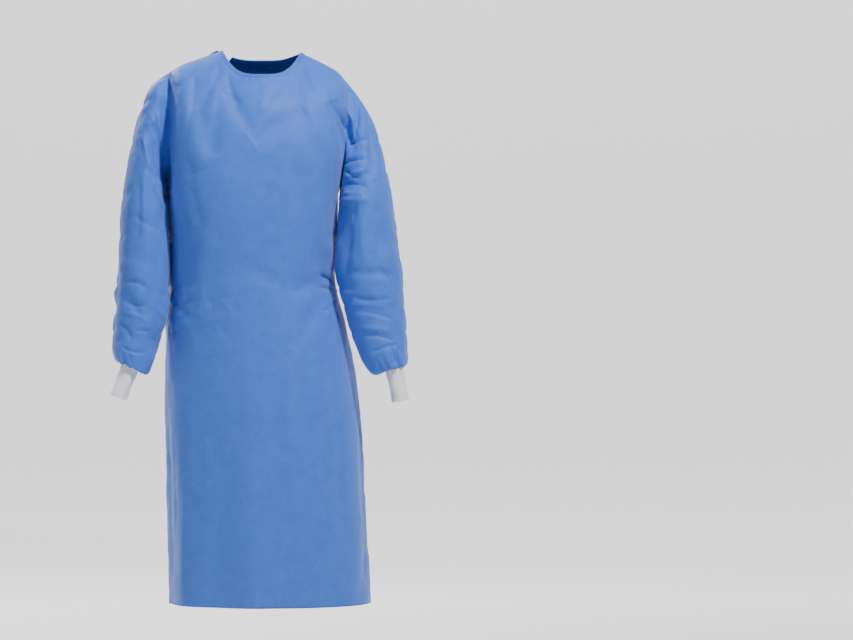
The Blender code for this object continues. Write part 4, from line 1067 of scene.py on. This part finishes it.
def nonwoven(name, dark, light, bond=0.0014):
    """Spunbond cloth: mottled fibre web, a fine lattice of bond points whose darker tone is partly their
    own and partly painted shade in their pits, and small crinkles.
    """
    made, tree, shader = new_material(name, 0.62, 0.15)
    place = node(tree, "ShaderNodeTexCoord")
    lattice = node(tree, "ShaderNodeMapping")
    lattice.inputs["Rotation"].default_value = (0, 0, math.radians(45))
    lattice.inputs["Scale"].default_value = (1 / bond, 1 / bond, 1)
    link(tree, place, "UV", lattice, "Vector")
    dots = node(tree, "ShaderNodeTexVoronoi", Scale=1.0, Randomness=0.0)
    link(tree, lattice, "Vector", dots, "Vector")
    web = node(tree, "ShaderNodeTexNoise", Scale=420.0, Detail=4.0, Roughness=0.65)
    link(tree, place, "Object", web, "Vector")
    cloud = node(tree, "ShaderNodeTexNoise", Scale=38.0, Detail=5.0, Roughness=0.6)
    link(tree, place, "Object", cloud, "Vector")
    crinkle = node(tree, "ShaderNodeTexNoise", noise_type="RIDGED_MULTIFRACTAL",
                   Scale=34.0, Detail=3.0, Roughness=0.55)
    link(tree, place, "Object", crinkle, "Vector")
    tone = ramp(tree, cloud, "Fac", 0.3, 0.7, dark, light)
    fleck = ramp(tree, web, "Fac", 0.35, 0.68, (0.82, 0.84, 0.88), (1.0, 1.0, 1.0))
    mixed = node(tree, "ShaderNodeMix", data_type="RGBA", blend_type="MULTIPLY")
    mixed.inputs["Factor"].default_value = 1.0
    tree.links.new(tone.outputs["Color"], mixed.inputs["A"])
    tree.links.new(fleck.outputs["Color"], mixed.inputs["B"])
    # The bond points are darker: partly their own tone, partly painted shade in the pits that the bump
    # sinks.
    bond_tone_and_pit_shade = ramp(tree, dots, "Distance", 0.12, 0.42, (0.78, 0.80, 0.84), (1.0, 1.0, 1.0))
    pitted = node(tree, "ShaderNodeMix", data_type="RGBA", blend_type="MULTIPLY")
    pitted.inputs["Factor"].default_value = 1.0
    tree.links.new(mixed.outputs["Result"], pitted.inputs["A"])
    tree.links.new(bond_tone_and_pit_shade.outputs["Color"], pitted.inputs["B"])
    tree.links.new(pitted.outputs["Result"], shader.inputs["Base Color"])
    rough = node(tree, "ShaderNodeMapRange", From_Min=0.3, From_Max=0.7, To_Min=0.52, To_Max=0.72)
    link(tree, cloud, "Fac", rough, "Value")
    link(tree, rough, "Result", shader, "Roughness")
    fine = node(tree, "ShaderNodeBump", Strength=0.35, Distance=0.0002)
    link(tree, web, "Fac", fine, "Height")
    pit = node(tree, "ShaderNodeMapRange", From_Min=0.12, From_Max=0.42)
    link(tree, dots, "Distance", pit, "Value")
    bonded = node(tree, "ShaderNodeBump", Strength=0.4, Distance=0.00015)
    link(tree, pit, "Result", bonded, "Height")
    link(tree, fine, "Normal", bonded, "Normal")
    folded = node(tree, "ShaderNodeBump", Strength=0.22, Distance=0.0012)
    link(tree, crinkle, "Fac", folded, "Height")
    link(tree, bonded, "Normal", folded, "Normal")
    link(tree, folded, "Normal", shader, "Normal")
    return made


def knit(name, dark, light):
    """White rib knit: rows of small loops on the modelled ribs, with painted shade in the dips between
    rows and a little fuzz.
    """
    made, tree, shader = new_material(name, 0.9, 0.3)
    place = node(tree, "ShaderNodeTexCoord")
    loops = node(tree, "ShaderNodeMapping")
    loops.inputs["Scale"].default_value = (1 / 0.0014, 1 / 0.0011, 1)
    link(tree, place, "UV", loops, "Vector")
    wave = node(tree, "ShaderNodeTexWave", bands_direction="Y", Scale=0.32, Distortion=1.6, Detail=2.0)
    link(tree, loops, "Vector", wave, "Vector")
    fuzz = node(tree, "ShaderNodeTexNoise", Scale=900.0, Detail=3.0, Roughness=0.6)
    link(tree, place, "Object", fuzz, "Vector")
    # Painted shade: the knit's colour darkens where its rows dip.
    tone = ramp(tree, wave, "Fac", 0.1, 0.8, dark, light)
    tree.links.new(tone.outputs["Color"], shader.inputs["Base Color"])
    rows = node(tree, "ShaderNodeBump", Strength=0.5, Distance=0.0004)
    link(tree, wave, "Fac", rows, "Height")
    fine = node(tree, "ShaderNodeBump", Strength=0.4, Distance=0.0003)
    link(tree, fuzz, "Fac", fine, "Height")
    link(tree, rows, "Normal", fine, "Normal")
    link(tree, fine, "Normal", shader, "Normal")
    return made


def tape(name, dark, light):
    """White hook and loop tape: a dense grid of tiny hooks, with painted shade between them."""
    made, tree, shader = new_material(name, 0.75, 0.25)
    place = node(tree, "ShaderNodeTexCoord")
    grid = node(tree, "ShaderNodeMapping")
    grid.inputs["Scale"].default_value = (1 / 0.0011, 1 / 0.0011, 1)
    link(tree, place, "UV", grid, "Vector")
    hooks = node(tree, "ShaderNodeTexVoronoi", Scale=1.0, Randomness=0.35)
    link(tree, grid, "Vector", hooks, "Vector")
    fuzz = node(tree, "ShaderNodeTexNoise", Scale=700.0, Detail=4.0, Roughness=0.6)
    link(tree, place, "Object", fuzz, "Vector")
    # Painted shade: the tape darkens between the raised hooks.
    tone = ramp(tree, hooks, "Distance", 0.1, 0.6, light, dark)
    tree.links.new(tone.outputs["Color"], shader.inputs["Base Color"])
    bumps = node(tree, "ShaderNodeBump", Strength=0.7, Distance=0.0004, invert=True)
    link(tree, hooks, "Distance", bumps, "Height")
    fine = node(tree, "ShaderNodeBump", Strength=0.4, Distance=0.0002)
    link(tree, fuzz, "Fac", fine, "Height")
    link(tree, bumps, "Normal", fine, "Normal")
    link(tree, fine, "Normal", shader, "Normal")
    return made


def plain(name, colour, roughness):
    made = bpy.data.materials.new(name)
    made.use_nodes = True
    tree = made.node_tree
    shader = tree.nodes["Principled BSDF"]
    shader.inputs["Roughness"].default_value = roughness
    place = node(tree, "ShaderNodeTexCoord")
    grain = node(tree, "ShaderNodeTexNoise", Scale=3.0, Detail=2.0)
    link(tree, place, "Object", grain, "Vector")
    tone = ramp(tree, grain, "Fac", 0.2, 0.8, [c * 0.985 for c in colour], colour)
    tree.links.new(tone.outputs["Color"], shader.inputs["Base Color"])
    split = node(tree, "ShaderNodeSeparateXYZ")
    link(tree, place, "Object", split, "Vector")
    glow = node(tree, "ShaderNodeMapRange", From_Min=0.5, From_Max=4.5, To_Min=0.0, To_Max=FLOOR_GLOW)
    link(tree, split, "Y", glow, "Value")
    shader.inputs["Emission Color"].default_value = (1, 1, 1, 1)
    link(tree, glow, "Result", shader, "Emission Strength")
    return made


def studio():
    """A pale floor that curves up behind, soft lights and the camera of the front view."""
    half, depth, rise, bend = STUDIO
    line = [(-depth, FLOOR), (depth - bend, FLOOR)]
    for k in range(1, 25):
        turn = math.radians(90 * k / 24)
        line.append((depth - bend + bend * math.sin(turn), FLOOR + bend * (1 - math.cos(turn))))
    line.append((depth, FLOOR + rise))
    points = np.array([[(x, y, z) for x in (-half, half)] for y, z in line], float)
    mesh = bpy.data.meshes.new("studio_floor")
    count = len(line)
    mesh.from_pydata(points.reshape(-1, 3).tolist(), [],
                     [(2 * k, 2 * k + 1, 2 * k + 3, 2 * k + 2) for k in range(count - 1)])
    mesh.materials.append(plain("studio_pale", (0.93, 0.93, 0.93), 0.8))
    mesh.shade_smooth()
    floor = bpy.data.objects.new("studio_floor", mesh)
    bpy.context.scene.collection.objects.link(floor)
    world = bpy.data.worlds.new("studio_air")
    world.use_nodes = True
    world.node_tree.nodes["Background"].inputs["Color"].default_value = (1, 1, 1, 1)
    air = world.node_tree.nodes["Background"]
    seen = node(world.node_tree, "ShaderNodeLightPath")
    strength = node(world.node_tree, "ShaderNodeMapRange", To_Min=WORLD_STRENGTH, To_Max=WORLD_SEEN)
    link(world.node_tree, seen, "Is Camera Ray", strength, "Value")
    link(world.node_tree, strength, "Result", air, "Strength")
    bpy.context.scene.world = world
    for name, place, aim, size, power in LIGHTS:
        lamp = bpy.data.lights.new(name, "AREA")
        lamp.shape = "DISK"
        lamp.size = size
        lamp.energy = power
        made = bpy.data.objects.new(name, lamp)
        made.location = place
        made.rotation_euler = (Vector(aim) - Vector(place)).to_track_quat("-Z", "Y").to_euler()
        bpy.context.scene.collection.objects.link(made)
    camera = bpy.data.cameras.new("front_camera")
    camera.lens = LENS
    camera.sensor_width = SENSOR
    camera.clip_end = 60
    made = bpy.data.objects.new("front_camera", camera)
    pixel = SENSOR / 1000 / PHOTO_WIDTH
    distance = LENS / 1000 * PHOTO_SCALE / pixel
    yaw = math.atan((PHOTO_WIDTH / 2 - FRONT_COLUMN) * pixel / (LENS / 1000))
    height = (FRONT_ROW - PHOTO_HEIGHT / 2) * PHOTO_SCALE
    made.location = (0, -distance * math.cos(yaw), height)
    made.rotation_euler = (math.pi / 2, 0, -yaw)
    bpy.context.scene.collection.objects.link(made)
    bpy.context.scene.camera = made


def main():
    cloth = nonwoven("gown_cloth_web", CLOTH_DARK, CLOTH_LIGHT)
    bound = nonwoven("binding_cloth_web", BINDING_DARK, BINDING_LIGHT, 0.0012)
    ribbed = knit("cuff_knit_rib", KNIT_GROOVE_SHADE, KNIT_LIGHT)
    white = tape("tape_white_hooks", TAPE_SHADE_BETWEEN_HOOKS, TAPE_LIGHT)
    made = {"front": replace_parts(front_panel(cloth), "front")}
    for arm in ("left", "right"):
        made["back_" + arm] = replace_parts(back_panel(arm, cloth), "back_" + arm)
        made["sleeve_" + arm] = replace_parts(sleeve_tube(arm, cloth), "sleeve_" + arm)
        made["cuff_" + arm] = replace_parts(cuff(arm, ribbed), "cuff_" + arm)
    made["neck_binding"] = neck_band(bound)
    made["flap_binding"] = flap_band(bound)
    made["hook_tape"] = hook_band(white)
    made["loop_tape"] = loop_band(white)
    made["neck_tie_left"] = strip("neck_tie_left", bound, 220, tie_relief)
    made["neck_tie_right"] = strip("neck_tie_right", cloth, 220, tie_relief)
    made["belt"] = strip("belt", cloth, 60, belt_relief)
    made["belt_stub"] = strip("belt_stub", cloth, 60, belt_relief)
    made["belt_end_long"] = strip("belt_end_long", cloth, 200, belt_relief)
    made["belt_end_short"] = strip("belt_end_short", cloth, 120, belt_relief)
    made["belt_loop"] = strip("belt_loop", cloth, 120, belt_relief)
    made["belt_wrap"] = strip("belt_wrap", cloth, 90, wrap_relief)
    studio()


main()
